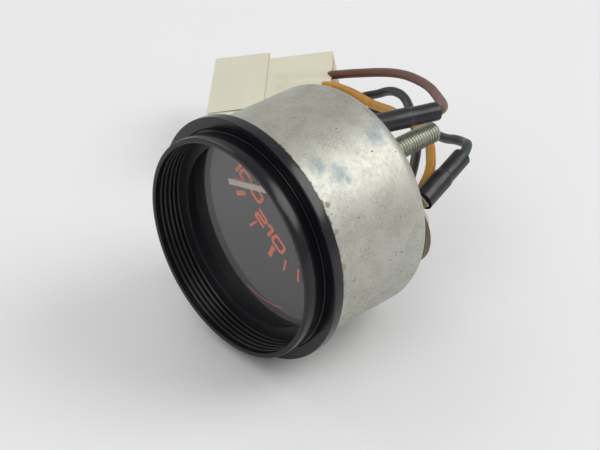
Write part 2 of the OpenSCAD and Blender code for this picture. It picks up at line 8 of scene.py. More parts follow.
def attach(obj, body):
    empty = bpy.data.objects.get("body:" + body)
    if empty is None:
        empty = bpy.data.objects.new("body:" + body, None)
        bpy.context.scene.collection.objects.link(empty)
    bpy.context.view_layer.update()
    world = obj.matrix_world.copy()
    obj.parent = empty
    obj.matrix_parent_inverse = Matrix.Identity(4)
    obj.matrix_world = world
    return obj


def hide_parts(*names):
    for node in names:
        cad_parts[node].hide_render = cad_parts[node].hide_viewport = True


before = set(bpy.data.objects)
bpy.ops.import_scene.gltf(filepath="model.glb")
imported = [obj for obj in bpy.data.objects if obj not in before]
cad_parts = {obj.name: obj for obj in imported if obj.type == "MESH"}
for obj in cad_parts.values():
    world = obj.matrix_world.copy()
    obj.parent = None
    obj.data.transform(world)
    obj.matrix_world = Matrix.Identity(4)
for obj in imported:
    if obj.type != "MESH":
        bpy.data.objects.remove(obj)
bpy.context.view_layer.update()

# Sizes are in mm where nothing else is said. A station is a distance behind the hood's lip.
MM = 0.001
AXIS_HEIGHT = 28.0
LIP_TO_MIDDLE = 27.5
DIAL_TURN = math.radians(36.5)

# Places on the dial, as (right, up) from the case's axis
PIVOT = (0.6, 17.7)
LAMP_AT = (13.1, -1.2)
STUD_UP, STUD_LOW = (0.0, 14.1), (0.0, -14.1)
BLADE_1_AT, BLADE_2_AT = (-6.7, 17.1), (13.6, 13.1)
PILLARS = ((-15, 10), (-9, -16.5), (14.5, -13))

# Radii and stations of the case
HOOD_R, HOOD_IN = 25.3, 24.1
CAN_R, CAN_IN = 26.0, 25.4
FLANGE_AT, FLANGE_BACK = 5.3, 7.8
GLASS_AT, DIAL_AT = 7.15, 12.2
BACK_AT = 36.4
BACK_WALL = 0.6
INSIDE_BACK = BACK_AT - BACK_WALL


# Camera, in metres
CAMERA_PLACE = (0.2174, -0.2074, 0.2187)
CAMERA_AIM = (-0.6141, 0.5685, -0.5475)
LENS_MM, FILM_MM = 96.0, 36.0
camera_data = bpy.data.cameras.new("camera")
camera_data.lens = LENS_MM
camera_data.sensor_width = FILM_MM
camera_data.clip_start = 0.01
camera = bpy.data.objects.new("camera", camera_data)
bpy.context.collection.objects.link(camera)
camera.location = CAMERA_PLACE
camera.rotation_euler = Vector(CAMERA_AIM).to_track_quat("-Z", "Y").to_euler()
bpy.context.scene.camera = camera
bpy.context.scene.view_settings.view_transform = "Standard"


# Making shapes
def clear_selection():
    """Leaves edit mode and selects nothing."""
    if bpy.context.object and bpy.context.object.mode != "OBJECT":
        leave_edit()
    bpy.ops.object.select_all(action="DESELECT")


def hold(piece):
    """Makes piece the one selected and active object."""
    clear_selection()
    piece.select_set(True)
    bpy.context.view_layer.objects.active = piece


def edit(piece, faces=True):
    """Opens piece in edit mode with everything selected."""
    hold(piece)
    bpy.ops.object.mode_set(mode="EDIT")
    bpy.ops.mesh.select_mode(type="FACE" if faces else "VERT")
    bpy.ops.mesh.select_all(action="SELECT")


def leave_edit():
    bpy.ops.object.mode_set(mode="OBJECT")


def pick_faces(piece, wanted):
    """In edit mode, selects only the faces for which wanted(centre, normal) is true."""
    mesh = bmesh.from_edit_mesh(piece.data)
    for face in mesh.faces:
        face.select_set(False)
    for face in mesh.faces:
        if wanted(face.calc_center_median(), face.normal):
            face.select_set(True)
    bmesh.update_edit_mesh(piece.data)


def close_up(piece, gap=0.002):
    """Merges doubles and turns all faces outwards."""
    edit(piece, faces=False)
    bpy.ops.mesh.remove_doubles(threshold=gap * MM)
    bpy.ops.mesh.select_all(action="SELECT")
    bpy.ops.mesh.normals_make_consistent(inside=False)
    leave_edit()


def smooth(piece, degrees=32.0):
    hold(piece)
    bpy.ops.object.shade_smooth_by_angle(angle=math.radians(degrees))


def apply_all(piece):
    """Applies the piece's modifiers, in order."""
    hold(piece)
    for modifier in list(piece.modifiers):
        bpy.ops.object.modifier_apply(modifier=modifier.name)


def settle(piece, matrix):
    """Moves the piece's mesh by matrix; its object stays at the origin."""
    piece.data.transform(matrix)
    if matrix.determinant() < 0:
        piece.data.flip_normals()
    piece.data.update()
    return piece


def points_of(piece):
    count = len(piece.data.vertices)
    flat = np.empty(count * 3)
    piece.data.vertices.foreach_get("co", flat)
    return flat.reshape(-1, 3)


def put_points(piece, points):
    piece.data.vertices.foreach_set("co", np.asarray(points, float).ravel())
    piece.data.update()


def reshape(piece, move):
    """Moves each point of the piece from x, y, z to move(x, y, z)."""
    put_points(piece, np.array([move(*place) for place in points_of(piece) / MM]) * MM)


def outline(name, points):
    """A closed loop of edges through the points."""
    clear_selection()
    bpy.ops.mesh.primitive_circle_add(vertices=len(points), radius=0.01, fill_type="NOTHING")
    piece = bpy.context.object
    piece.name = name
    put_points(piece, np.array(points, float) * MM)
    return piece


def open_loop(piece, count):
    """In edit mode, deletes the edge that joins the last of a loop's count points to the first."""
    bpy.ops.mesh.select_mode(type="EDGE")
    bpy.ops.mesh.select_all(action="DESELECT")
    mesh = bmesh.from_edit_mesh(piece.data)
    mesh.verts.ensure_lookup_table()
    mesh.edges.get((mesh.verts[0], mesh.verts[count - 1])).select_set(True)
    bmesh.update_edit_mesh(piece.data)
    bpy.ops.mesh.delete(type="EDGE")
    bpy.ops.mesh.select_mode(type="VERT")
    bpy.ops.mesh.select_all(action="SELECT")


def turned(name, profile, sides=128, at=(0.0, AXIS_HEIGHT), from_y=-LIP_TO_MIDDLE, solid=False, angle=32.0):
    """Turns a profile of (radius, station) points about a line along Y through at = (x, z)."""
    piece = outline(name, [(at[0] + r, from_y + s, at[1]) for r, s in profile])
    edit(piece, faces=False)
    if solid:
        open_loop(piece, len(profile))
    bpy.ops.mesh.spin(steps=sides, angle=2 * math.pi, center=(at[0] * MM, 0, at[1] * MM), axis=(0, 1, 0))
    leave_edit()
    close_up(piece)
    smooth(piece, angle)
    return piece


def plug(name, profile, sides):
    """A solid turned about the Y axis of its own frame."""
    return turned(name, profile, sides=sides, at=(0, 0), from_y=0, solid=True)


def arc(centre, radius, start, end, steps):
    """Points of a round about centre = (radius, station), from angle start to end in degrees."""
    turns = [math.radians(start + (end - start) * i / steps) for i in range(steps + 1)]
    return [(centre[0] + radius * math.cos(t), centre[1] + radius * math.sin(t)) for t in turns]


def block(name, low, high, bevel=0.0, segments=2):
    """A box from corner low to corner high, with its edges bevelled."""
    clear_selection()
    middle = [(a + b) / 2 * MM for a, b in zip(low, high)]
    bpy.ops.mesh.primitive_cube_add(size=1.0, location=(0, 0, 0))
    piece = bpy.context.object
    piece.name = name
    size = [(b - a) * MM for a, b in zip(low, high)]
    settle(piece, Matrix.Translation(middle) @ Matrix.Diagonal((*size, 1.0)))
    if bevel:
        edit(piece)
        bpy.ops.mesh.bevel(offset=bevel * MM, segments=segments, affect="EDGES")
        leave_edit()
    return piece


def join(name, pieces):
    """One piece of several meshes."""
    hold(pieces[0])
    for piece in pieces:
        piece.select_set(True)
    if len(pieces) > 1:
        bpy.ops.object.join()
    pieces[0].name = name
    return pieces[0]


def combine(piece, tool, operation="DIFFERENCE"):
    """Cuts tool out of piece, or adds it, and drops the tool."""
    change = piece.modifiers.new("cut", "BOOLEAN")
    change.operation = operation
    change.solver = "EXACT"
    change.object = tool
    apply_all(piece)
    bpy.data.objects.remove(tool, do_unlink=True)
    return piece


def copied(piece, name, matrix):
    """A copy of the piece with its own mesh, moved by matrix."""
    other = piece.copy()
    other.data = piece.data.copy()
    other.name = name
    bpy.context.collection.objects.link(other)
    return settle(other, matrix)


def on_dial(right, up, station, turn=0.0):
    """Matrix from a piece's own frame to a place on the dial: X to its right, Y backwards, Z to its top."""
    c, s = math.cos(DIAL_TURN), math.sin(DIAL_TURN)
    place = Vector((right * c + up * s, station - LIP_TO_MIDDLE, AXIS_HEIGHT - right * s + up * c)) * MM
    return Matrix.Translation(place) @ Matrix.Rotation(DIAL_TURN + math.radians(turn), 4, "Y")


def dial_xz(right, up):
    """Where a place on the dial lies, as (x, z)."""
    place = on_dial(right, up, 0).translation / MM
    return place.x, place.z


def behind(place, y=0.0, spin=0.0):
    """Matrix from the Y axis to the line behind a (right, up) place on the dial, turned by spin degrees."""
    x, z = dial_xz(*place)
    return Matrix.Translation(Vector((x, y, z)) * MM) @ Matrix.Rotation(math.radians(spin), 4, "Y")


# The leads
LEAD = 2.3
BROWN = [
    (8.520, 23.979, 45.125), (9.320, 26.868, 44.995), (8.5, 29.2, 44.3), (6.4, 32, 43.2), (3.5, 34.7, 42),
    (0.3, 37.2, 40.8), (-3, 39.8, 39.6), (-6.8, 42.3, 38.6), (-10.8, 44.5, 37.5), (-14.9, 46.5, 36.2),
    (-19, 48.2, 34.9), (-23.2, 49.7, 33.4), (-27.5, 50.9, 31.7), (-31.7, 51.8, 29.9), (-36, 52.4, 28),
    (-40.2, 52.8, 26.1), (-44.5, 53, 24.2), (-48.7, 53.4, 22.2), (-52.6, 53, 20.6), (-56.3, 50.7, 19.8),
    (-59.5, 47.3, 19.4)]
YELLOW = [
    (11.517, 19.1, 21.243), (11.517, 19.1, 24.243), (11.5, 20.5, 28), (10.5, 24, 31), (7.5, 27.5, 32.5),
    (3.5, 31, 33), (-1, 33.5, 32.5), (-5.5, 36, 32), (-10, 38, 31), (-14.5, 39.5, 29.5), (-19, 41.5, 28),
    (-23.5, 43, 26.5), (-28, 44.5, 25), (-33, 46, 24), (-37.5, 47.5, 23), (-42.5, 48.5, 22),
    (-47.5, 48.5, 21), (-52, 46.5, 20), (-55.5, 43, 19.5)]
GREEN = [
    (15.663, 26.616, 34.067), (15.116, 29.494, 34.714), (13, 33.5, 35), (10, 36, 33.5), (6, 37.5, 32),
    (2, 39, 30), (-2, 40.5, 28.5), (-6, 42, 27.5), (-10, 43.5, 26), (-14, 44.5, 25), (-18.5, 45.5, 24),
    (-22.5, 46.5, 23), (-26.5, 47, 22), (-31, 47, 20.5), (-35, 46.5, 19.5), (-38.5, 45.5, 19),
    (-42, 43, 19.5), (-45.5, 39.5, 20), (-49, 36.5, 19.5)]
BLACK = [
    (8.117, 19.1, 21.243), (8.117, 19.1, 24.243), (7.5, 20.5, 27.5), (5, 24.5, 29), (2, 28.5, 29.5),
    (-1.5, 32.5, 29), (-5, 36, 28.5), (-8.5, 39.5, 28), (-12.5, 42.5, 28), (-16.5, 45.5, 28.5),
    (-20.5, 48, 28.5), (-25, 50, 27.5), (-29.5, 51.5, 25.5), (-33.5, 52, 23), (-38, 52, 20.5),
    (-42, 50.5, 18.5), (-45.5, 47, 19), (-49, 43, 20), (-52.5, 39.5, 19.5)]
ROUTES = {"brown": BROWN, "yellow": YELLOW, "green": GREEN, "black": BLACK}


def lead(name, route):
    """A free lead along a smooth curve through the route's points."""
    data = bpy.data.curves.new(name, "CURVE")
    data.dimensions = "3D"
    data.bevel_depth = LEAD / 2 * MM
    data.bevel_resolution = 5
    data.resolution_u = 8
    data.use_fill_caps = True
    spline = data.splines.new("BEZIER")
    spline.bezier_points.add(len(route) - 1)
    for point, place in zip(spline.bezier_points, route):
        point.co = Vector(place) * MM
        point.handle_left_type = point.handle_right_type = "AUTO"
    piece = bpy.data.objects.new(name, data)
    bpy.context.collection.objects.link(piece)
    return piece


wires = {colour: lead(colour + "_wire", route) for colour, route in ROUTES.items()}


# Case
RINGS, FIRST_RING, RING_PITCH = 5, 0.65, 1.22
ring_profile = []
for i in reversed(range(RINGS)):
    start = FIRST_RING + i * RING_PITCH
    ring_profile += [(HOOD_IN, start + 1.12), (HOOD_IN + 0.16, start + 0.98), (HOOD_IN + 0.25, start + 0.8),
                     (HOOD_IN + 0.25, start + 0.5), (HOOD_IN + 0.16, start + 0.3), (HOOD_IN, start + 0.14)]
hood_moulding = turned("hood_moulding", [
    (HOOD_IN, 0.2), (24.16, 0.06), (24.3, 0.0), (25.1, 0.0), (25.24, 0.06), (HOOD_R, 0.2), (HOOD_R, 1.5),
    (HOOD_R, 3.5), (25.24, 3.62), (24.93, 3.75), (24.85, 3.85), (24.85, 5.2), (24.95, FLANGE_AT),
    (25.25, 5.35), (25.25, 5.8), (27.2, 5.8), (27.3, 5.9), (27.3, 6.8), (HOOD_IN, 6.8)] + ring_profile,
    sides=160)
black_ring = turned("black_ring", [
    (21.3, 6.95), (21.36, 6.83), (21.5, 6.8), (25.1, 6.8), (25.1, GLASS_AT), (21.4, GLASS_AT), (21.3, 7.05)],
    sides=160)

rolled_bezel = turned("rolled_bezel", [(25.5, FLANGE_AT), (25.7, FLANGE_AT)]
                      + arc((27.75, 5.55), 0.25, -90, 0, 6) + arc((27.75, 7.55), 0.25, 0, 90, 6)
                      + [(26.7, FLANGE_BACK), (26.6, 7.7), (26.6, 7.3), (27.5, 7.3), (27.5, 5.8), (25.4, 5.8),
                         (25.4, FLANGE_AT + 0.05)], sides=160)

neck = arc((26.5, FLANGE_BACK), 0.5, 270, 180, 6)
ROUND_AT, ROUND_OUT, ROUND_IN = (21.8, 32.2), 4.2, 3.6
can_shell = turned("can_shell", [(CAN_IN, 6.8), (27.3, 6.8), (27.3, 7.3)] + neck
                   + [(CAN_R, 14.0), (CAN_R, 20.0), (CAN_R, 26.0)] + arc(ROUND_AT, ROUND_OUT, 0, 90, 16)
                   + [(21.5, BACK_AT), (16.0, BACK_AT), (8.0, BACK_AT), (0, BACK_AT), (0, INSIDE_BACK),
                      (12.0, INSIDE_BACK)] + arc(ROUND_AT, ROUND_IN, 90, 0, 12), sides=144)
LAMP_HOLE, STUD_HOLE, BUSH_HOLE, SCREW_HOLE = 6.1, 3.02, 2.3, 1.5
cutters = []
for places, radius in (((LAMP_AT,), LAMP_HOLE), ((STUD_UP, STUD_LOW), STUD_HOLE),
                       ((BLADE_1_AT, BLADE_2_AT), BUSH_HOLE), (PILLARS, SCREW_HOLE)):
    for place in places:
        cutters.append(turned("cutter", [(0, 34.0), (radius, 34.0), (radius, 38.0), (0, 38.0)], sides=48,
                              at=dial_xz(*place), solid=True))
close_up(can_shell)
combine(can_shell, join("cutters", cutters))
smooth(can_shell)

flat_glass = turned("flat_glass", [
    (0, GLASS_AT), (24.85, GLASS_AT), (25.1, 7.4), (25.1, 8.9), (24.85, 9.15), (0, 9.15)], solid=True)
dial_plate = turned("dial_plate", [
    (0, DIAL_AT), (12.0, DIAL_AT), (25.02, DIAL_AT), (25.1, 12.28), (25.1, 12.72), (25.02, 12.8), (0, 12.8)],
    sides=96, solid=True)


# Dried sealant round the can
def ragged(angle, seed, scale=9.0):
    """A wandering value of about -1 to 1 round the case."""
    spot = Vector((math.cos(angle), math.sin(angle), seed)) * scale
    return noise.fractal(spot, 1.0, 2.0, 4)


BEAD_FROM = 7.85
LEAST_REACH = 0.12


def uneven_bead(x, y, z):
    """Draws the bead's free edge in and out, and thins and thickens it, round the case."""
    station, radius = y + LIP_TO_MIDDLE, math.hypot(x, z - AXIS_HEIGHT)
    angle = math.atan2(z - AXIS_HEIGHT, x)
    if station > BEAD_FROM:
        reach = 0.42 + 0.55 * ragged(angle, 1.0) + 2.2 * max(0.0, ragged(angle, 7.0, 3.2) - 0.12)
        reach = min(1.0, max(LEAST_REACH, reach))
        swell = 1.0 + 0.6 * ragged(angle, 4.0, 14.0)
        station = BEAD_FROM + (station - BEAD_FROM) * reach
        radius = CAN_R - 0.02 + (radius - CAN_R) * (0.35 + 0.65 * reach) * swell
    return radius * math.cos(angle), station - LIP_TO_MIDDLE, AXIS_HEIGHT + radius * math.sin(angle)


sealant = turned("sealant", neck + [
    (CAN_R, 8.2), (CAN_R, 9.2), (26.1, 9.2), (26.2, 8.9), (26.28, 8.4), (26.3, 8.0), (26.45, 7.86),
    (26.6, 7.78), (26.6, 7.3)], sides=360)
reshape(sealant, uneven_bead)
close_up(sealant, 0.0005)
smooth(sealant, 50)


# Dial print and pointer
def ribbon(name, line, width, closed=False):
    """A flat band of that width along a line of (right, up) points on the dial."""
    line = [Vector(p) for p in line]
    count = len(line)
    clear_selection()
    bpy.ops.mesh.primitive_grid_add(x_subdivisions=count - 1, y_subdivisions=1, size=0.01)
    piece = bpy.context.object
    piece.name = name
    order = sorted(piece.data.vertices, key=lambda v: (round(v.co.x, 6), v.co.y))
    places = []
    for i, point in enumerate(line):
        before = line[i - 1] if i else (line[-2] if closed else point)
        after = line[i + 1] if i < count - 1 else (line[1] if closed else point)
        ahead = (after - point).normalized() if (after - point).length > 1e-6 else Vector((0, 0))
        so_far = (point - before).normalized() if (point - before).length > 1e-6 else Vector((0, 0))
        along = (ahead + so_far).normalized()
        side = Vector((-along.y, along.x))
        spread = width / 2 / max(0.6, along.dot(ahead if ahead.length else so_far))
        places += [point - side * spread, point + side * spread]
    for vertex, place in zip(order, places):
        vertex.co = (place.x * MM, 0, place.y * MM)
    piece.data.update()
    close_up(piece)
    return piece


def rounded(corners, radius, closed=False, steps=5):
    """The corners with a round at each inner one."""
    corners = [Vector(c) for c in corners]
    line = []
    count = len(corners)
    for i, corner in enumerate(corners):
        if not closed and i in (0, count - 1):
            line.append(corner)
            continue
        a, b = corners[i - 1] - corner, corners[(i + 1) % count] - corner
        cut = min(radius, a.length * 0.48, b.length * 0.48)
        start, end = corner + a.normalized() * cut, corner + b.normalized() * cut
        for k in range(steps + 1):
            t = k / steps
            line.append(start * (1 - t) ** 2 + corner * 2 * t * (1 - t) + end * t ** 2)
    if closed:
        line.append(line[0])
    return line


TICK_END, TICK_LENGTH = 22.0, 3.25
BROAD_TICK = 1.15
ARC_R = 18.7
STROKE = 0.78


def tick(degrees, width):
    """A tick at an angle from straight down about the pointer's pivot."""
    t = math.radians(degrees)
    way = Vector((math.sin(t), -math.cos(t)))
    pivot = Vector(PIVOT)
    return ribbon("tick", [pivot + way * (TICK_END - TICK_LENGTH), pivot + way * TICK_END], width)


def digit(shape, left, base, wide, high):
    """A block digit in the box given, as one band."""
    half = STROKE / 2
    w, e, s, n = left + half, left + wide - half, base + half, base + high - half
    mid = (s + n) / 2
    corners, bend, closed, width = {
        "0": ([(w, s), (e, s), (e, n), (w, n)], 0.8, True, STROKE),
        "1": ([(left, n - 0.35), (e - 0.35, n + 0.05), (e, n - 0.05), (e, base)], 0.25, False, STROKE * 1.1),
        "2": ([(left + 0.1, n), (e, n), (e, mid), (w, mid), (w, s), (left + wide, s)], 0.55, False, STROKE),
        "5": ([(e, n), (w, n), (w, mid), (e, mid), (e, s), (w - 0.2, s)], 0.4, False, STROKE)}[shape]
    return ribbon("digit", rounded(corners, bend, closed), width, closed)


print_marks = [tick(degrees, width) for degrees, width in (
    (-39.0, BROAD_TICK), (-30.8, BROAD_TICK), (-10.5, 0.5), (10.2, BROAD_TICK), (23.0, 0.55), (35.0, 0.55))]
arc_turns = [math.radians(degrees) for degrees in range(-73, -36, 2)]
print_marks.append(ribbon("thin_arc", [(ARC_R * math.cos(t), ARC_R * math.sin(t)) for t in arc_turns], 0.16))
for figure, base, high, boxes in (("210", -0.2, 3.2, ((-4.4, 3.7), (-0.5, 2.1), (2.1, 4.4))),
                                  ("100", 3.4, 3.2, ((-15.7, 2.1), (-13.3, 4.1), (-8.9, 4.1))),
                                  ("250", 3.7, 2.5, ((10.2, 3.3), (13.7, 3.3), (17.2, 3.6)))):
    print_marks += [digit(shape, left, base, wide, high) for shape, (left, wide) in zip(figure, boxes)]
dial_print = join("dial_print", print_marks)
thick = dial_print.modifiers.new("ink", "SOLIDIFY")
thick.thickness = 0.03 * MM
thick.offset = 0.0
apply_all(dial_print)
settle(dial_print, on_dial(0, 0, DIAL_AT - 0.01))
close_up(dial_print, 0.0005)

REST_TURN = 39.0
pointer_bar = block("pointer_bar", (-0.7, 0, -22.2), (0.7, 0.4, 4.0), bevel=0.08)
boss = plug("boss", [(0, 0), (2.1, 0), (2.2, 0.1), (2.2, 0.4), (0, 0.4)], 48)
combine(pointer_bar, boss, "UNION")
settle(pointer_bar, on_dial(*PIVOT, 11.0, REST_TURN))
smooth(pointer_bar, 30)
pointer_cap = plug("pointer_cap", [(0, -0.12), (1.6, -0.08), (2.6, 0.0)] + arc((2.6, 0.4), 0.4, -90, 0, 5)
                   + [(3.0, 0.8), (0, 0.8)], 64)
settle(pointer_cap, on_dial(*PIVOT, 10.2))
smooth(pointer_cap, 40)

slotted = plug("dial_screw", [(0, 0), (1.6, 0.0), (1.85, 0.12), (1.9, 0.25), (1.9, 0.7), (1.0, 0.7),
                              (1.0, 4.9), (0, 4.9)], 40)
combine(slotted, block("driver_slot", (-0.18, -0.2, -2.5), (0.18, 0.3, 2.5)))
smooth(slotted)
dial_fixings = join("dial_fixings", [copied(slotted, "fixing", on_dial(right, 13, 11.5, turn))
                                     for right, turn in ((-12, -36), (12, 36))])
bpy.data.objects.remove(slotted, do_unlink=True)


# Rear fittings
def threaded_stud(name, at):
    """An M5 x 0.8 stud: one ridge wound by the Screw modifier, cut to length and rounded at its tip."""
    pitch, crest, root = 0.8, 2.45, 1.98
    start, end, tip, tip_r = BACK_AT + 0.05, 55.0, 0.95, 1.62
    turns = int((end - start) / pitch) + 3
    low = start - pitch
    profile = [(root, 0), (root, 0.06), (crest, 0.34), (crest, 0.46), (root, 0.74), (root, pitch)]
    rod = outline(name, [(r, low + s, 0) for r, s in profile])
    edit(rod, faces=False)
    open_loop(rod, len(profile))
    leave_edit()
    wind = rod.modifiers.new("thread", "SCREW")
    wind.axis = "Y"
    wind.angle = 2 * math.pi
    wind.screw_offset = pitch * MM
    wind.iterations = turns
    wind.steps = wind.render_steps = 32
    apply_all(rod)
    close_up(rod)
    for y, side in ((start, {"clear_inner": True}), (end, {"clear_outer": True})):
        edit(rod, faces=False)
        bpy.ops.mesh.bisect(plane_co=(0, y * MM, 0), plane_no=(0, 1, 0), use_fill=True, **side)
        leave_edit()

    def round_tip(x, y, z):
        radius = math.hypot(x, z)
        limit = tip_r + min(tip, end - y)
        if y <= end - tip or radius <= limit:
            return x, y, z
        return x * limit / radius, y, z * limit / radius

    reshape(rod, round_tip)
    close_up(rod, 0.001)
    dome = plug("dome", [(0, end - 0.6), (1.6, end - 0.6), (1.6, end - 0.28), (1.5, end - 0.12),
                         (1.1, end - 0.03), (0, end)], 32)
    shank = plug("shank", [(0, 34.0), (3.0, 34.0), (3.0, 36.35), (2.9, start), (2.0, 36.6), (0, 36.6)], 48)
    head = plug("head", [(0, 34.6), (3.65, 34.6), (3.8, 34.75), (3.8, 35.65), (3.65, INSIDE_BACK),
                         (0, INSIDE_BACK)], 48)
    rod = join(name, [rod, dome, shank, head])
    settle(rod, behind(at, -LIP_TO_MIDDLE))
    smooth(rod, 28)
    return rod


upper_stud = threaded_stud("upper_stud", STUD_UP)
lower_stud = copied(upper_stud, "lower_stud", behind(STUD_LOW) @ behind(STUD_UP).inverted())

cheese = turned("back_screw", [
    (0, 30.8), (1.4, 30.8), (1.4, BACK_AT), (2.45, BACK_AT), (2.6, 36.5), (2.6, 37.25), (2.45, 37.5),
    (2.1, 37.6), (0, 37.6)], sides=48, at=(0, 0), solid=True)
combine(cheese, block("driver_slot", (-0.25, 9.5, -3), (0.25, 10.5, 3)))
smooth(cheese)
back_screws = join("back_screws", [copied(cheese, "screw", behind(place, spin=spin))
                                   for place, spin in zip(PILLARS, (20, 75, -40))])
bpy.data.objects.remove(cheese, do_unlink=True)


def bush(name, at):
    """Shouldered insulating bush of a terminal."""
    return turned(name, [(0, 34.8), (2.85, 34.8), (2.85, INSIDE_BACK), (2.2, INSIDE_BACK), (2.2, BACK_AT),
                         (3.3, BACK_AT), (3.4, 36.5), (3.4, 37.2), (3.2, 37.4), (0, 37.4)], sides=64,
                  at=dial_xz(*at), solid=True)


bush_1, bush_2 = bush("bush_1", BLADE_1_AT), bush("bush_2", BLADE_2_AT)


BEND_AT = BACK_AT + 1.6


def lean_of(slopes):
    """The way a terminal runs past its bend, from its slopes across and up."""
    return Vector((slopes[0], 1, slopes[1])).normalized()


def past_bend(at, slopes, spin, out=0.0):
    """Matrix from a frame with Y along a terminal past its bend, X across its width, to its place."""
    x, z = dial_xz(*at)
    along = lean_of(slopes)
    bend = Vector((x, BEND_AT - LIP_TO_MIDDLE, z)) + along * out
    lean = Vector((0, 1, 0)).rotation_difference(along).to_matrix().to_4x4()
    return Matrix.Translation(bend * MM) @ lean @ Matrix.Rotation(math.radians(spin), 4, "Y")


# For each terminal: its place, its slopes, its turn in degrees, and past its bend the start of the receptacle
# and the start and length of the sleeve
TERMINALS = {"1": (BLADE_1_AT, (0.277, -0.045), 0.0, 2.6, 1.2, 15.8),
             "2": (BLADE_2_AT, (-0.19, 0.225), 50.0, 3.0, 3.3, 16.5)}
TAB_HALF, TAB_HALF_THICK = 1.4, 0.25
TAB_FROM = 33.4


def terminal_blade(name, at, slopes, spin):
    """A flat tab that leaves the bush straight and then leans, with a chamfered tip."""
    tab = block(name, (-TAB_HALF, 0, -TAB_HALF_THICK), (TAB_HALF, BEND_AT - TAB_FROM, TAB_HALF_THICK))
    settle(tab, behind(at, TAB_FROM - LIP_TO_MIDDLE, spin))
    straight, bent = behind(at, BEND_AT - LIP_TO_MIDDLE, spin), past_bend(at, slopes, spin)
    edit(tab)
    pick_faces(tab, lambda centre, normal: normal.y > 0.9)
    for here, y, wide, thick in ((straight, 0.5, 1.0, 1.0), (bent, 8.1, 1.0, 1.0), (bent, 9.0, 0.72, 0.6)):
        bpy.ops.mesh.extrude_region_move(TRANSFORM_OT_translate={"value": (0, 0, 0)})
        mesh = bmesh.from_edit_mesh(tab.data)
        for corner in {vertex for face in mesh.faces if face.select for vertex in face.verts}:
            local = here.inverted() @ corner.co
            across = math.copysign(TAB_HALF * wide, local.x)
            through = math.copysign(TAB_HALF_THICK * thick, local.z)
            corner.co = bent @ (Vector((across, y, through)) * MM)
        bmesh.update_edit_mesh(tab.data)
    leave_edit()
    close_up(tab)
    finish = tab.modifiers.new("edges", "BEVEL")
    finish.width = 0.05 * MM
    finish.segments = 2
    apply_all(tab)
    smooth(tab, 40)
    return tab


def push_on(name, at, slopes, spin, start, end):
    """A crimped push-on receptacle: a rolled box with an open mouth, and a barrel crimped on the lead."""
    box = block(name, (-1.8, 0, -0.8), (1.8, 6.6, 0.8), bevel=0.35, segments=4)
    mouth = block("mouth", (-1.44, -1, -0.29), (1.44, 6.2, 0.29))
    combine(box, mouth)
    length = end - start
    barrel = plug("barrel", [(0, 6.0), (1.2, 6.0), (1.6, 7.2), (1.6, length - 0.3), (1.45, length),
                             (0, length)], 32)
    combine(box, barrel, "UNION")

    def crimp(x, y, z):
        pinch = math.exp(-((y - 9.2) / 0.8) ** 2) if y > 7.0 else 0.0
        return x * (1 + 0.05 * pinch), y, z * (1 - 0.22 * pinch) if z > 0 else z

    reshape(box, crimp)
    settle(box, past_bend(at, slopes, spin, start))
    smooth(box, 35)
    return box


def soft_sleeve(name, at, slopes, spin, start, length, seed):
    """A soft two-diameter sleeve, a little flattened over the receptacle, with a rounded far rim."""
    near_in, near_r, far_in, far_r = 2.15, 2.35, 1.65, 2.15
    step = length * 0.5
    profile = [(near_in + 0.03, 0.05), (near_in + 0.1, 0.0), (near_r - 0.05, 0.0), (near_r, 0.06)]
    profile += [(near_r, 0.06 + (step - 0.1) * k / 10) for k in range(1, 10)]
    profile += [(near_r, step - 0.05), (near_r - 0.03, step + 0.05), (far_r + 0.06, step + 0.75),
                (far_r, step + 0.95)]
    profile += [(far_r, step + 0.95 + (length - step - 1.25) * k / 8) for k in range(1, 9)]
    profile += [(far_r - 0.04, length - 0.14), (far_r - 0.14, length - 0.03), (far_in + 0.1, length),
                (far_in, length - 0.1), (far_in, length * 0.75), (far_in, step + 0.6), (near_in, step),
                (near_in, step * 0.5)]
    sleeve = turned(name, profile, sides=64, at=(0, 0), from_y=0)

    def soften(x, y, z):
        angle = math.atan2(z, x)
        flat = 0.035 * math.cos(2 * angle) * (1.0 if y < step else 0.4)
        round_spot = Vector((2.2 * math.cos(angle), 2.2 * math.sin(angle), y * 0.22 + seed))
        seam = 0.02 * math.exp(-((angle - 0.6) / 0.06) ** 2) if math.hypot(x, z) > 1.9 else 0.0
        grow = 1 + flat + 0.012 * noise.noise(round_spot) + seam
        return x * grow, y, z * grow

    reshape(sleeve, soften)
    settle(sleeve, past_bend(at, slopes, spin, start))
    smooth(sleeve, 40)
    return sleeve


CRIMP_TO_RIM = 3.0
fittings = {}
for number, (at, slopes, spin, box_from, sleeve_from, sleeve_length) in TERMINALS.items():
    tab, box, sleeve = ("tab_" + number, "push_on_" + number, "soft_sleeve_" + number)
    fittings[tab] = terminal_blade(tab, at, slopes, spin)
    fittings[box] = push_on(box, at, slopes, spin, box_from, sleeve_from + sleeve_length - CRIMP_TO_RIM)
    fittings[sleeve] = soft_sleeve(sleeve, at, slopes, spin, sleeve_from, sleeve_length, float(number) * 3)

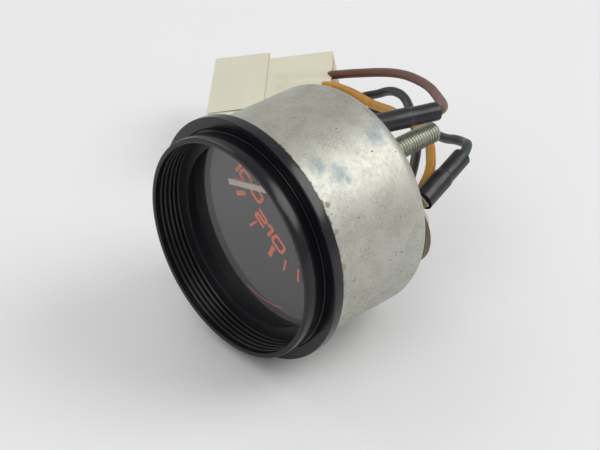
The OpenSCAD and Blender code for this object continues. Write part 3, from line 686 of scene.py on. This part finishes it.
DISC_AT, CAP_AT, CAP_END = 42.0, 44.2, 49.0
lamp_x_z = dial_xz(*LAMP_AT)
lamp_socket = turned("lamp_socket", [
    (5.6, 29.8), (6.0, 29.8), (6.0, BACK_AT), (6.7, BACK_AT), (6.8, 36.5), (6.8, 36.8), (6.7, 36.9),
    (6.0, 36.9), (6.0, DISC_AT), (5.6, DISC_AT)], sides=96, at=lamp_x_z)
phenolic_disc = turned("phenolic_disc", [
    (0, 40.8), (5.5, 40.8), (5.5, DISC_AT), (8.65, DISC_AT), (8.8, 42.15), (8.8, 44.05), (8.65, CAP_AT),
    (0, CAP_AT)], sides=96, at=lamp_x_z, solid=True)
cream_cap = turned("cream_cap", [(0, CAP_AT), (4.5, CAP_AT)] + arc((3.1, 47.6), 1.4, 0, 90, 10)
                   + [(2.0, CAP_END), (0, CAP_END)], sides=72, at=lamp_x_z, solid=True)
for across in (-1.7, 1.7):
    bore = plug("bore", [(0, 0), (1.21, 0), (1.21, 8), (0, 8)], 32)
    settle(bore, Matrix.Translation(Vector((lamp_x_z[0] + across, 19.1, lamp_x_z[1] + 1.9)) * MM)
           @ Matrix.Rotation(math.radians(90), 4, "X"))
    combine(cream_cap, bore)
smooth(cream_cap)


# The tape flag
TAG_CORNER = Vector((-62.0, 63.5, 20.3))
TILT = math.radians(5.9)
PAPER, LEAD_BULGE, BULGE_WIDTH = 0.14, 1.7, 2.6
LEADS_END, TAPER = 13.5, 1.3
ALONG = -Vector((math.cos(TILT) * math.sqrt(0.5), math.cos(TILT) * math.sqrt(0.5), math.sin(TILT)))
DOWN = Vector((math.sqrt(0.5), -math.sqrt(0.5), 0))
UPWARD = ALONG.cross(DOWN).normalized()
UPWARD = UPWARD if UPWARD.z > 0 else -UPWARD
LEADS_IN = (13.1, 19.0, 23.5, 28.0)  # how far below the fold each lead's end lies


def folded_tape(name, left, right, crease, upper_len, lower_len, spread, gap, thick_out, seed):
    """A strip of tape from right to left along the flag, folded at a crease of (start, slope)."""
    across, rows = 44, 150
    quarter = math.pi / 2
    clear_selection()
    bpy.ops.mesh.primitive_grid_add(x_subdivisions=across, y_subdivisions=rows, size=1.0)
    piece = bpy.context.object
    piece.name = name
    spots = points_of(piece)
    for i, (u, v, _) in enumerate(spots):
        s = right + (left - right) * (u + 0.5)
        run = -lower_len + (lower_len + upper_len) * (v + 0.5)
        start = crease[0] + crease[1] * s
        turn = run / gap
        if abs(turn) < quarter:
            t, height = gap * (1 - math.cos(turn)), gap * math.sin(turn)
        else:
            t, height = gap + abs(run) - gap * quarter, math.copysign(gap, run)
        inside = 1.0 / (1.0 + math.exp((s - LEADS_END) / TAPER))
        bulges = [math.exp(-((t + start - place) / BULGE_WIDTH) ** 2) for place in LEADS_IN]
        bulge = (LEAD_BULGE + thick_out) * max(bulges) * inside
        rise = max(abs(height), bulge * min(1.0, t / 3.0)) if t > 0.5 else abs(height)
        wander = 0.16 * noise.noise(Vector((s * 0.11, t * 0.09, seed))) * min(1.0, t / 4)
        height = math.copysign(rise, height)
        lower = run < 0
        slant = -spread * max(0.0, t - 0.5) if lower else 0.0
        sag = -0.05 * t if lower and s < 14 else 0.0
        sag *= 1.0 / (1.0 + math.exp((s - 6.0) / 1.5))
        place = (TAG_CORNER + ALONG * (s + slant) + DOWN * (t + start)
                 + UPWARD * (height + math.copysign(thick_out, height) + wander + sag))
        spots[i] = place * MM
    put_points(piece, spots)
    wall = piece.modifiers.new("paper", "SOLIDIFY")
    wall.thickness = PAPER * MM
    wall.offset = 0.0
    apply_all(piece)
    close_up(piece, 0.0001)
    smooth(piece, 60)
    return piece


tape_flag = folded_tape("tape_flag", left=31.6, right=0.0, crease=(0.0, 0.105), upper_len=30.0,
                        lower_len=30.0, spread=0.13, gap=0.34, thick_out=0.0, seed=2.0)
tape_end = folded_tape("tape_end", left=32.0, right=17.4, crease=(-2.9, 0.09), upper_len=31.0,
                       lower_len=12.0, spread=0.0, gap=0.55, thick_out=0.16, seed=5.0)


# Shared surface effects, where places are in metres and scales are per metre
def group(name, inputs, outputs):
    """A shader node group with those float inputs (name, value) and outputs."""
    tree = bpy.data.node_groups.new(name, "ShaderNodeTree")
    for label, value in inputs:
        socket = tree.interface.new_socket(name=label, in_out="INPUT", socket_type="NodeSocketFloat")
        socket.default_value = value
    for label in outputs:
        tree.interface.new_socket(name=label, in_out="OUTPUT", socket_type="NodeSocketFloat")
    return tree, tree.nodes.new("NodeGroupInput"), tree.nodes.new("NodeGroupOutput")


def node(tree, kind, **values):
    """A node whose attributes and inputs are set by name; an input may be another node's output."""
    made = tree.nodes.new(kind)
    for label, value in values.items():
        if hasattr(made, label):
            setattr(made, label, value)
            continue
        key = int(label[1:]) if label[0] == "i" and label[1:].isdigit() else label.replace("_", " ")
        socket = made.inputs[key]
        if isinstance(value, bpy.types.NodeSocket):
            tree.links.new(value, socket)
        else:
            socket.default_value = value
    return made


def math_node(tree, operation, a, b=0.0, c=0.0, clamp=False):
    return node(tree, "ShaderNodeMath", operation=operation, use_clamp=clamp, i0=a, i1=b, i2=c).outputs[0]


def noise_node(tree, place, scale, detail, **values):
    return node(tree, "ShaderNodeTexNoise", Vector=place, Scale=scale, Detail=detail, **values)


def spread_node(tree, value, low, high, to_low=0.0, to_high=1.0):
    """Maps value from low..high to to_low..to_high, smoothly."""
    return node(tree, "ShaderNodeMapRange", interpolation_type="SMOOTHSTEP", i0=value, i1=low, i2=high,
                i3=to_low, i4=to_high).outputs[0]


def build_mottle():
    """Soft clouds of 0 to 1."""
    tree, given, out = group("mottle", [("Scale", 400.0), ("Contrast", 0.2)], ["Mask"])
    place = tree.nodes.new("ShaderNodeTexCoord").outputs["Object"]
    cloud = noise_node(tree, place, given.outputs["Scale"], 6.0, Roughness=0.62)
    low = math_node(tree, "SUBTRACT", 0.5, given.outputs["Contrast"])
    high = math_node(tree, "ADD", 0.5, given.outputs["Contrast"])
    tree.links.new(spread_node(tree, cloud.outputs[0], low, high), out.inputs["Mask"])
    return tree


def build_specks():
    """Small round specks of several sizes; Amount is how many."""
    tree, given, out = group("specks", [("Scale", 900.0), ("Amount", 0.3), ("Size", 0.2)], ["Mask"])
    place = tree.nodes.new("ShaderNodeTexCoord").outputs["Object"]
    warp = noise_node(tree, place, 2600.0, 2.0)
    bent = node(tree, "ShaderNodeMix", data_type="VECTOR", i0=0.00022, i4=place, i5=warp.outputs["Color"])
    cells = node(tree, "ShaderNodeTexVoronoi", Vector=bent.outputs[1], Scale=given.outputs["Scale"],
                 Randomness=1.0)
    pick = node(tree, "ShaderNodeSeparateColor", Color=cells.outputs["Color"])
    chosen = math_node(tree, "LESS_THAN", pick.outputs[0], given.outputs["Amount"])
    radius = math_node(tree, "MULTIPLY", given.outputs["Size"], math_node(tree, "ADD", pick.outputs[1], 0.35))
    rim = math_node(tree, "MULTIPLY", radius, 0.55)
    dot = spread_node(tree, cells.outputs["Distance"], radius, rim)
    tree.links.new(math_node(tree, "MULTIPLY", dot, chosen), out.inputs["Mask"])
    return tree


def build_grain():
    """Fine uneven height of a moulded or plated surface."""
    tree, given, out = group("grain", [("Scale", 3000.0), ("Swell", 300.0)], ["Height"])
    place = tree.nodes.new("ShaderNodeTexCoord").outputs["Object"]
    fine = noise_node(tree, place, given.outputs["Scale"], 3.0)
    broad = noise_node(tree, place, given.outputs["Swell"], 2.0)
    both = math_node(tree, "MULTIPLY_ADD", broad.outputs[0], 2.0, fine.outputs[0])
    tree.links.new(both, out.inputs["Height"])
    return tree


MOTTLE, SPECKS, GRAIN = build_mottle(), build_specks(), build_grain()


def srgb(red, green, blue):
    """A colour written as 0 to 255 screen values, as the shader wants it."""
    parts = [c / 255 for c in (red, green, blue)]
    return (*[c / 12.92 if c <= 0.04045 else ((c + 0.055) / 1.055) ** 2.4 for c in parts], 1.0)


class Finish:
    """A material being built: its tree, its shader, and its colour and height so far."""

    def __init__(self, name, colour, roughness, **fixed):
        self.material = bpy.data.materials.new(name)
        self.material.use_nodes = True
        self.tree = self.material.node_tree
        self.shader = self.tree.nodes["Principled BSDF"]
        self.shader.inputs["Base Color"].default_value = colour
        self.shader.inputs["Roughness"].default_value = roughness
        for label, value in fixed.items():
            self.shader.inputs[label.replace("_", " ")].default_value = value
        self.colour, self.roughness = colour, roughness
        self.metallic = self.shader.inputs["Metallic"].default_value
        self.heights = []

    def mask(self, kind, output, **values):
        return node(self.tree, "ShaderNodeGroup", node_tree=kind, **values).outputs[output]

    def mottle(self, scale, contrast=0.2):
        return self.mask(MOTTLE, "Mask", Scale=scale, Contrast=contrast)

    def specks(self, scale, amount, size=0.2):
        return self.mask(SPECKS, "Mask", Scale=scale, Amount=amount, Size=size)

    def place(self):
        return node(self.tree, "ShaderNodeTexCoord").outputs["Object"]

    def axes(self):
        return node(self.tree, "ShaderNodeSeparateXYZ", i0=self.place()).outputs

    def blend(self, kind, mask, amount, now, then):
        """Moves a value of that kind from now to then where mask is."""
        factor = math_node(self.tree, "MULTIPLY", mask, amount, clamp=True)
        first, result = (6, 2) if kind == "RGBA" else (2, 0)
        ends = {f"i{first}": now, f"i{first + 1}": then}
        return node(self.tree, "ShaderNodeMix", data_type=kind, i0=factor, **ends).outputs[result]

    def paint(self, mask, colour, amount=1.0):
        self.colour = self.blend("RGBA", mask, amount, self.colour, colour)
        return self

    def dull(self, mask, roughness, amount=1.0):
        self.roughness = self.blend("FLOAT", mask, amount, self.roughness, roughness)
        return self

    def strip(self, mask, metallic):
        self.metallic = self.blend("FLOAT", mask, 1.0, self.metallic, metallic)
        return self

    def raise_by(self, height, amount):
        self.heights.append(math_node(self.tree, "MULTIPLY", height, amount))
        return self

    def grain(self, scale, swell, amount):
        return self.raise_by(self.mask(GRAIN, "Height", Scale=scale, Swell=swell), amount)

    def noise(self, scale, detail, **values):
        return noise_node(self.tree, self.place(), scale, detail, **values).outputs[0]

    def near(self, spots, radius, soft=0.35):
        """A mask of blotches about spots, each a place in mm and a share of radius, with broken edges."""
        wavy = self.noise(700.0, 4.0)
        total = None
        for spot, size in spots:
            gap = node(self.tree, "ShaderNodeVectorMath", operation="DISTANCE", i0=self.place(),
                       i1=Vector(spot) * MM).outputs["Value"]
            reach = size * radius * MM
            broken = math_node(self.tree, "MULTIPLY_ADD", wavy, -reach * 1.3, gap)
            inside = spread_node(self.tree, broken, reach * soft, -reach * soft)
            total = inside if total is None else math_node(self.tree, "MAXIMUM", total, inside)
        return total

    def done(self, strength=1.0, distance=0.0001):
        for value, label in ((self.colour, "Base Color"), (self.roughness, "Roughness"),
                             (self.metallic, "Metallic")):
            if isinstance(value, bpy.types.NodeSocket):
                self.tree.links.new(value, self.shader.inputs[label])
        if self.heights:
            total = self.heights[0]
            for height in self.heights[1:]:
                total = math_node(self.tree, "ADD", total, height)
            bump = node(self.tree, "ShaderNodeBump", Strength=strength, Distance=distance, Height=total)
            self.tree.links.new(bump.outputs[0], self.shader.inputs["Normal"])
        return self.material


# Finishes
def hood_black():
    f = Finish("satin_black_moulding", srgb(14, 13, 17), 0.19, Specular_IOR_Level=0.36)
    f.paint(f.mottle(160.0), srgb(20, 19, 24), 0.6)
    f.dull(f.mottle(260.0), 0.26, 0.8)
    dust = f.specks(1100.0, 0.02, 0.13)
    # Painted glints: small light specks on the hood's lip edge.
    lip_glints = f.near([((8.4, -19.4, 51.9), 1.0), ((4.3, -27.5, 51.7), 0.8), ((-15.2, -27.5, 48.0), 0.8)], 0.2)
    f.paint(dust, srgb(150, 148, 140), 0.45).paint(lip_glints, srgb(190, 186, 176), 0.8)
    f.dull(dust, 0.8)
    f.grain(5200.0, 420.0, 0.10)
    return f.done(0.5, 0.00006)


def bezel_black():
    f = Finish("black_enamel", srgb(17, 16, 20), 0.17, Specular_IOR_Level=0.42)
    f.paint(f.mottle(240.0), srgb(26, 25, 30), 0.7)
    f.dull(f.mottle(420.0), 0.26, 0.8)
    marks = f.specks(800.0, 0.04, 0.14)
    f.paint(marks, srgb(150, 148, 142), 0.4).dull(marks, 0.8)
    f.grain(3600.0, 500.0, 0.15)
    return f.done(0.5, 0.00006)


def aged_zinc():
    f = Finish("aged_zinc_plate", srgb(190, 190, 183), 0.48, Metallic=1.0)
    f.paint(f.mottle(130.0, 0.22), srgb(204, 204, 195), 0.55)
    f.paint(f.mottle(1500.0, 0.3), srgb(158, 160, 152), 0.45)
    f.dull(f.mottle(900.0, 0.25), 0.6, 0.75)
    f.paint(f.mottle(60.0, 0.25), srgb(192, 189, 172), 0.35)
    front, middle, rear = (14.0, -14.4, 49.9), (16.8, -11.0, 47.9), (13.7, 2.7, 50.1)
    stains = f.near([(front, 1.0), (middle, 1.15), ((18.4, -9.6, 46.4), 0.5), (rear, 1.2),
                     ((12.4, 4.6, 50.8), 0.8)], 2.6, 0.5)
    f.paint(stains, srgb(160, 172, 178), 0.7).dull(stains, 0.64, 0.8)
    f.paint(f.near([(front, 1.0), (middle, 0.8), (rear, 1.0)], 0.22), srgb(104, 106, 102), 0.7)
    _, along, up = f.axes()
    pits_begin, pits_worst = 0.046, 0.022
    low_down = spread_node(f.tree, up, pits_begin, pits_worst)
    lower_pits = math_node(f.tree, "MULTIPLY", f.specks(1300.0, 0.3, 0.26), low_down)
    pits = math_node(f.tree, "MAXIMUM", f.specks(560.0, 0.09, 0.13), lower_pits)
    patchy = math_node(f.tree, "MULTIPLY", f.mottle(2200.0, 0.12), f.mottle(240.0, 0.1))
    f.paint(patchy, srgb(126, 126, 112), 0.35)
    f.paint(pits, srgb(70, 64, 50), 0.85).strip(pits, 0.2).dull(pits, 0.8)
    edge = math_node(f.tree, "MULTIPLY_ADD", f.noise(900.0, 5.0, Roughness=0.7), 0.0028, along)
    grime_begins, grime_worst = -0.0166, -0.0170
    f.paint(spread_node(f.tree, edge, grime_begins, grime_worst), srgb(58, 50, 38), 0.8)
    smears = f.near([((19.6, -18.8, 45.2), 1.0), ((20.3, -17.2, 44.4), 0.8), ((23.4, -17.6, 39.5), 0.8),
                     ((25.8, -17.5, 32.0), 0.9), ((26.1, -18.2, 28.0), 0.9)], 1.1, 0.3)
    f.paint(smears, srgb(150, 140, 116), 0.85).strip(smears, 0.0).dull(smears, 0.8)
    f.grain(2300.0, 260.0, 0.55).raise_by(pits, -0.8)
    return f.done(0.35, 0.00008)


def sealant_tan():
    f = Finish("dried_sealant", srgb(176, 162, 128), 0.75)
    f.paint(f.mottle(900.0), srgb(120, 104, 72), 0.8)
    f.paint(f.mottle(420.0, 0.08), srgb(46, 40, 32), 0.85)
    f.grain(2600.0, 900.0, 1.0)
    return f.done(0.8, 0.0001)


def dial_black():
    f = Finish("matt_dial_black", srgb(56, 55, 58), 0.7)
    f.paint(f.mottle(300.0), srgb(60, 59, 62), 0.5)
    spots = [(on_dial(*place, DIAL_AT).translation / MM, size)
             for place, size in (((-0.8, -13.6), 1.0), ((0.1, -11.9), 0.8))]
    f.paint(f.near(spots, 0.45), srgb(4, 4, 5))
    f.paint(f.specks(500.0, 0.01, 0.1), srgb(170, 168, 160), 0.5)
    f.dull(f.mottle(200.0), 0.8, 0.5)
    return f.done()


def print_orange():
    f = Finish("orange_red_print", srgb(255, 108, 48), 0.5)
    f.paint(f.mottle(1600.0), srgb(255, 126, 64), 0.6)
    f.grain(8000.0, 1500.0, 0.2)
    return f.done(0.3, 0.00003)


def pale_paint():
    f = Finish("pale_pointer_paint", srgb(240, 222, 206), 0.42)
    f.paint(f.mottle(800.0), srgb(226, 200, 182), 0.6)
    f.grain(6000.0, 900.0, 0.2)
    return f.done(0.3, 0.00003)


def zinc_thread():
    f = Finish("zinc_thread", srgb(196, 199, 188), 0.4, Metallic=1.0)
    f.paint(f.mottle(420.0), srgb(176, 175, 160), 0.7)
    _, along, _ = f.axes()
    fresh_begins, freshest = 0.016, 0.0095
    f.paint(spread_node(f.tree, along, fresh_begins, freshest), srgb(190, 208, 196), 0.6)
    f.dull(f.mottle(1500.0), 0.5, 0.8)
    f.paint(f.specks(1600.0, 0.15, 0.22), srgb(84, 80, 66), 0.6)
    f.grain(3000.0, 1200.0, 0.4)
    return f.done(0.4, 0.00006)


def plain_metal(name, colour, tint, roughness):
    f = Finish(name, colour, roughness, Metallic=1.0)
    f.paint(f.mottle(500.0), tint, 0.7)
    f.dull(f.mottle(1100.0), roughness + 0.16, 0.8)
    f.grain(3500.0, 700.0, 0.3)
    return f.done(0.3, 0.00005)


def moulded(name, colour, tint, roughness):
    f = Finish(name, colour, roughness)
    f.paint(f.mottle(380.0), tint, 0.6)
    f.dull(f.mottle(900.0), roughness + 0.12, 0.7)
    f.grain(4200.0, 600.0, 0.3)
    return f.done(0.4, 0.00006)


def stretched(tree, place, by):
    return node(tree, "ShaderNodeVectorMath", operation="MULTIPLY", i0=place, i1=by).outputs[0]


def soft_vinyl(name, colour, tint, along, roughness):
    """Flexible vinyl with fine creases along a direction."""
    f = Finish(name, colour, roughness)
    turn = along.rotation_difference(Vector((1, 0, 0))).to_euler()
    lined = node(f.tree, "ShaderNodeMapping", Vector=f.place(), Rotation=turn).outputs[0]
    crease = noise_node(f.tree, stretched(f.tree, lined, (0.12, 1.0, 1.0)), 1500.0, 4.0).outputs[0]
    f.paint(f.mottle(500.0), tint, 0.6)
    streaks = spread_node(f.tree, crease, 0.45, 0.7)
    f.paint(streaks, tint, 0.4).dull(streaks, roughness + 0.15)
    f.paint(f.specks(1300.0, 0.05, 0.14), srgb(140, 136, 128), 0.35)
    f.raise_by(crease, 1.0)
    return f.done(0.45, 0.00012)


def lead_vinyl(name, colour, tint):
    f = Finish(name, colour, 0.36)
    f.paint(f.mottle(260.0), tint, 0.7)
    f.dull(f.mottle(700.0), 0.5, 0.8)
    f.paint(f.specks(1500.0, 0.06, 0.16), srgb(90, 84, 72), 0.35)
    f.grain(2800.0, 420.0, 0.5)
    return f.done(0.35, 0.00008)


def crepe_tape():
    """Cream crepe paper: fine crinkles across the strip, from its UV map, and soft stains."""
    f = Finish("crepe_tape", srgb(222, 214, 192), 0.72, Subsurface_Weight=0.15, Subsurface_Scale=0.001)
    uv = node(f.tree, "ShaderNodeUVMap", uv_map="UVMap").outputs[0]
    strip = stretched(f.tree, uv, (30.0, 260.0, 1.0))
    crinkle = noise_node(f.tree, strip, 1.0, 4.0, Roughness=0.6).outputs[0]
    fold = noise_node(f.tree, strip, 0.12, 2.0).outputs[0]
    f.paint(f.mottle(90.0, 0.25), srgb(214, 206, 180), 0.6)
    f.paint(f.mottle(40.0, 0.2), srgb(206, 204, 190), 0.5)
    f.paint(spread_node(f.tree, crinkle, 0.5, 0.75), srgb(212, 202, 172), 0.3)
    f.raise_by(crinkle, 0.5).raise_by(fold, 1.2)
    return f.done(0.5, 0.00012)


def clear_glass(name, roughness, tint):
    """Clear glass; rays from lamps pass it, so what lies behind stays lit."""
    f = Finish(name, tint, roughness, IOR=1.5)
    f.shader.inputs["Transmission Weight"].default_value = 1.0
    f.dull(f.mottle(200.0, 0.3), roughness + 0.03, 0.8)
    material = f.done()
    tree = f.tree
    clear = node(tree, "ShaderNodeBsdfTransparent", Color=(0.92, 0.93, 0.93, 1.0))
    path = node(tree, "ShaderNodeLightPath")
    mix = node(tree, "ShaderNodeMixShader", i0=path.outputs["Is Shadow Ray"], i1=f.shader.outputs[0],
               i2=clear.outputs[0])
    tree.links.new(mix.outputs[0], tree.nodes["Material Output"].inputs["Surface"])
    return material


def braid():
    f = Finish("glass_braid", srgb(226, 216, 184), 0.85)
    wave = node(f.tree, "ShaderNodeTexWave", Vector=f.place(), Scale=900.0, Distortion=1.5,
                bands_direction="DIAGONAL").outputs[1]
    f.paint(wave, srgb(176, 164, 130), 0.7)
    f.raise_by(wave, 1.0)
    return f.done(0.8, 0.0001)


RING_BLACK = moulded("black_ring_paint", srgb(24, 23, 26), srgb(32, 31, 35), 0.35)
SPACER_BLACK = moulded("spacer_black", srgb(40, 38, 44), srgb(52, 50, 56), 0.55)
STEEL = plain_metal("turned_steel", srgb(196, 196, 190), srgb(176, 174, 166), 0.28)
DARK_STEEL = plain_metal("blackened_steel", srgb(92, 90, 86), srgb(70, 68, 64), 0.4)
BRASS = plain_metal("stamped_brass", srgb(206, 178, 112), srgb(180, 148, 86), 0.32)
TINNED = plain_metal("tinned_brass", srgb(204, 198, 174), srgb(178, 164, 126), 0.34)
BIMETAL = plain_metal("bimetal_strip", srgb(178, 180, 184), srgb(150, 150, 158), 0.3)
ZINC = plain_metal("zinc_plate", srgb(186, 188, 180), srgb(160, 160, 148), 0.36)
PHENOLIC = moulded("brown_phenolic", srgb(98, 84, 56), srgb(80, 64, 38), 0.45)
CREAM = moulded("aged_cream_moulding", srgb(196, 194, 178), srgb(182, 178, 156), 0.45)
GLOSS_BLACK = moulded("pointer_black", srgb(28, 27, 31), srgb(38, 37, 42), 0.25)
WINDOW_GLASS = clear_glass("window_glass", 0.02, (0.97, 0.98, 0.98, 1.0))
BULB_GLASS = clear_glass("bulb_glass", 0.03, (0.97, 0.98, 0.97, 1.0))


# Each piece on its body, in its finish
def coat(piece, material):
    piece.data.materials.clear()
    piece.data.materials.append(material)


def fit(piece, material, node_name, body="case", replaces_node=True):
    """Gives a new piece its finish and body, and hides the CAD node of that name unless replaces_node is
    false.
    """
    coat(piece, material)
    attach(piece, body)
    if replaces_node:
        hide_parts(node_name)


fit(hood_moulding, hood_black(), "hood")
fit(rolled_bezel, bezel_black(), "bezel_ring")
fit(can_shell, aged_zinc(), "can")
fit(sealant, sealant_tan(), "sealant_bead")
fit(black_ring, RING_BLACK, "glass_gasket")
fit(flat_glass, WINDOW_GLASS, "glass")
fit(dial_plate, dial_black(), "dial")
fit(dial_print, print_orange(), "dial", replaces_node=False)
fit(dial_fixings, DARK_STEEL, "dial_screws")
fit(pointer_bar, pale_paint(), "pointer", "pointer_arm")
fit(pointer_cap, GLOSS_BLACK, "pointer_hub", "pointer_arm")
thread_finish = zinc_thread()
fit(upper_stud, thread_finish, "stud_upper")
fit(lower_stud, thread_finish, "stud_lower")
fit(back_screws, ZINC, "movement_screws")
fit(bush_1, PHENOLIC, "terminal_insulator_1")
fit(bush_2, PHENOLIC, "terminal_insulator_2")
for number, (_, slopes, *_) in TERMINALS.items():
    vinyl = soft_vinyl("sleeve_vinyl_" + number, srgb(14, 12, 18), srgb(25, 23, 29), lean_of(slopes), 0.33)
    fit(fittings["tab_" + number], TINNED, "terminal_blade_" + number)
    fit(fittings["push_on_" + number], TINNED, "receptacle_" + number)
    fit(fittings["soft_sleeve_" + number], vinyl, "sleeve_" + number)
fit(lamp_socket, ZINC, "lamp_shell")
fit(phenolic_disc, PHENOLIC, "lamp_disc")
fit(cream_cap, CREAM, "lamp_cap")
tape_finish = crepe_tape()
fit(tape_flag, tape_finish, "lead_tag")
fit(tape_end, tape_finish, "lead_tag", replaces_node=False)

for name, length, colour, tint, on_it in (
        ("brown", 0.0871, srgb(98, 54, 34), srgb(82, 43, 27), ["soft_sleeve_1", "push_on_1"]),
        ("yellow", 0.0881, srgb(190, 134, 18), srgb(168, 112, 12), []),
        ("green", 0.0785, srgb(38, 56, 48), srgb(30, 44, 40), ["soft_sleeve_2", "push_on_2"]),
        ("black", 0.0871, srgb(34, 33, 36), srgb(46, 44, 46), [])):
    fit(wires[name], lead_vinyl(name + "_lead_vinyl", colour, tint), name + "_lead")

for node_name, material in {
        "dial_spacer": SPACER_BLACK, "pointer_shaft": STEEL, "pointer_lever": BRASS,
        "movement_plate": BRASS, "shaft_bridge": BRASS, "bridge_screws": STEEL, "heated_leg": BIMETAL,
        "heater_winding": braid(), "compensating_leg": BIMETAL, "anchor_post": BRASS,
        "movement_pillars": BRASS, "lamp_bulb": BULB_GLASS, "lamp_bulb_base": TINNED}.items():
    coat(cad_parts[node_name], material)


# Floor and light
FLOOR_METRES = 6.0
SKY_STRENGTH = 0.55
WHITE = (1.0, 1.0, 1.0, 1.0)
clear_selection()
bpy.ops.mesh.primitive_plane_add(size=FLOOR_METRES, location=(0, 0, 0))
floor = bpy.context.object
floor.name = "floor"
floor_finish = Finish("pale_floor", (0.83, 0.83, 0.84, 1.0), 0.6)
floor_finish.paint(floor_finish.mottle(6.0), (0.85, 0.85, 0.86, 1.0), 0.5)
floor.data.materials.append(floor_finish.done())

world = bpy.data.worlds.new("studio")
bpy.context.scene.world = world
world.use_nodes = True
background = world.node_tree.nodes["Background"]
background.inputs["Color"].default_value = WHITE
background.inputs["Strength"].default_value = SKY_STRENGTH


def soft_lamp(name, azimuth, elevation, distance, size, power):
    """A square lamp aimed at the gauge: angles in degrees, distance and size in metres, power in watts."""
    data = bpy.data.lights.new(name, "AREA")
    data.shape = "SQUARE"
    data.size = size
    data.energy = power
    lamp = bpy.data.objects.new(name, data)
    bpy.context.collection.objects.link(lamp)
    a, e = math.radians(azimuth), math.radians(elevation)
    way = Vector((math.cos(e) * math.cos(a), math.cos(e) * math.sin(a), math.sin(e)))
    lamp.location = Vector((0, 0, AXIS_HEIGHT * MM)) + way * distance
    lamp.rotation_euler = (-way).to_track_quat("-Z", "Y").to_euler()


soft_lamp("key", azimuth=50, elevation=42, distance=1.3, size=0.8, power=6.9)
soft_lamp("left_fill", azimuth=175, elevation=40, distance=1.4, size=0.9, power=2.8)
soft_lamp("front_fill", azimuth=-70, elevation=50, distance=1.4, size=0.9, power=3.8)
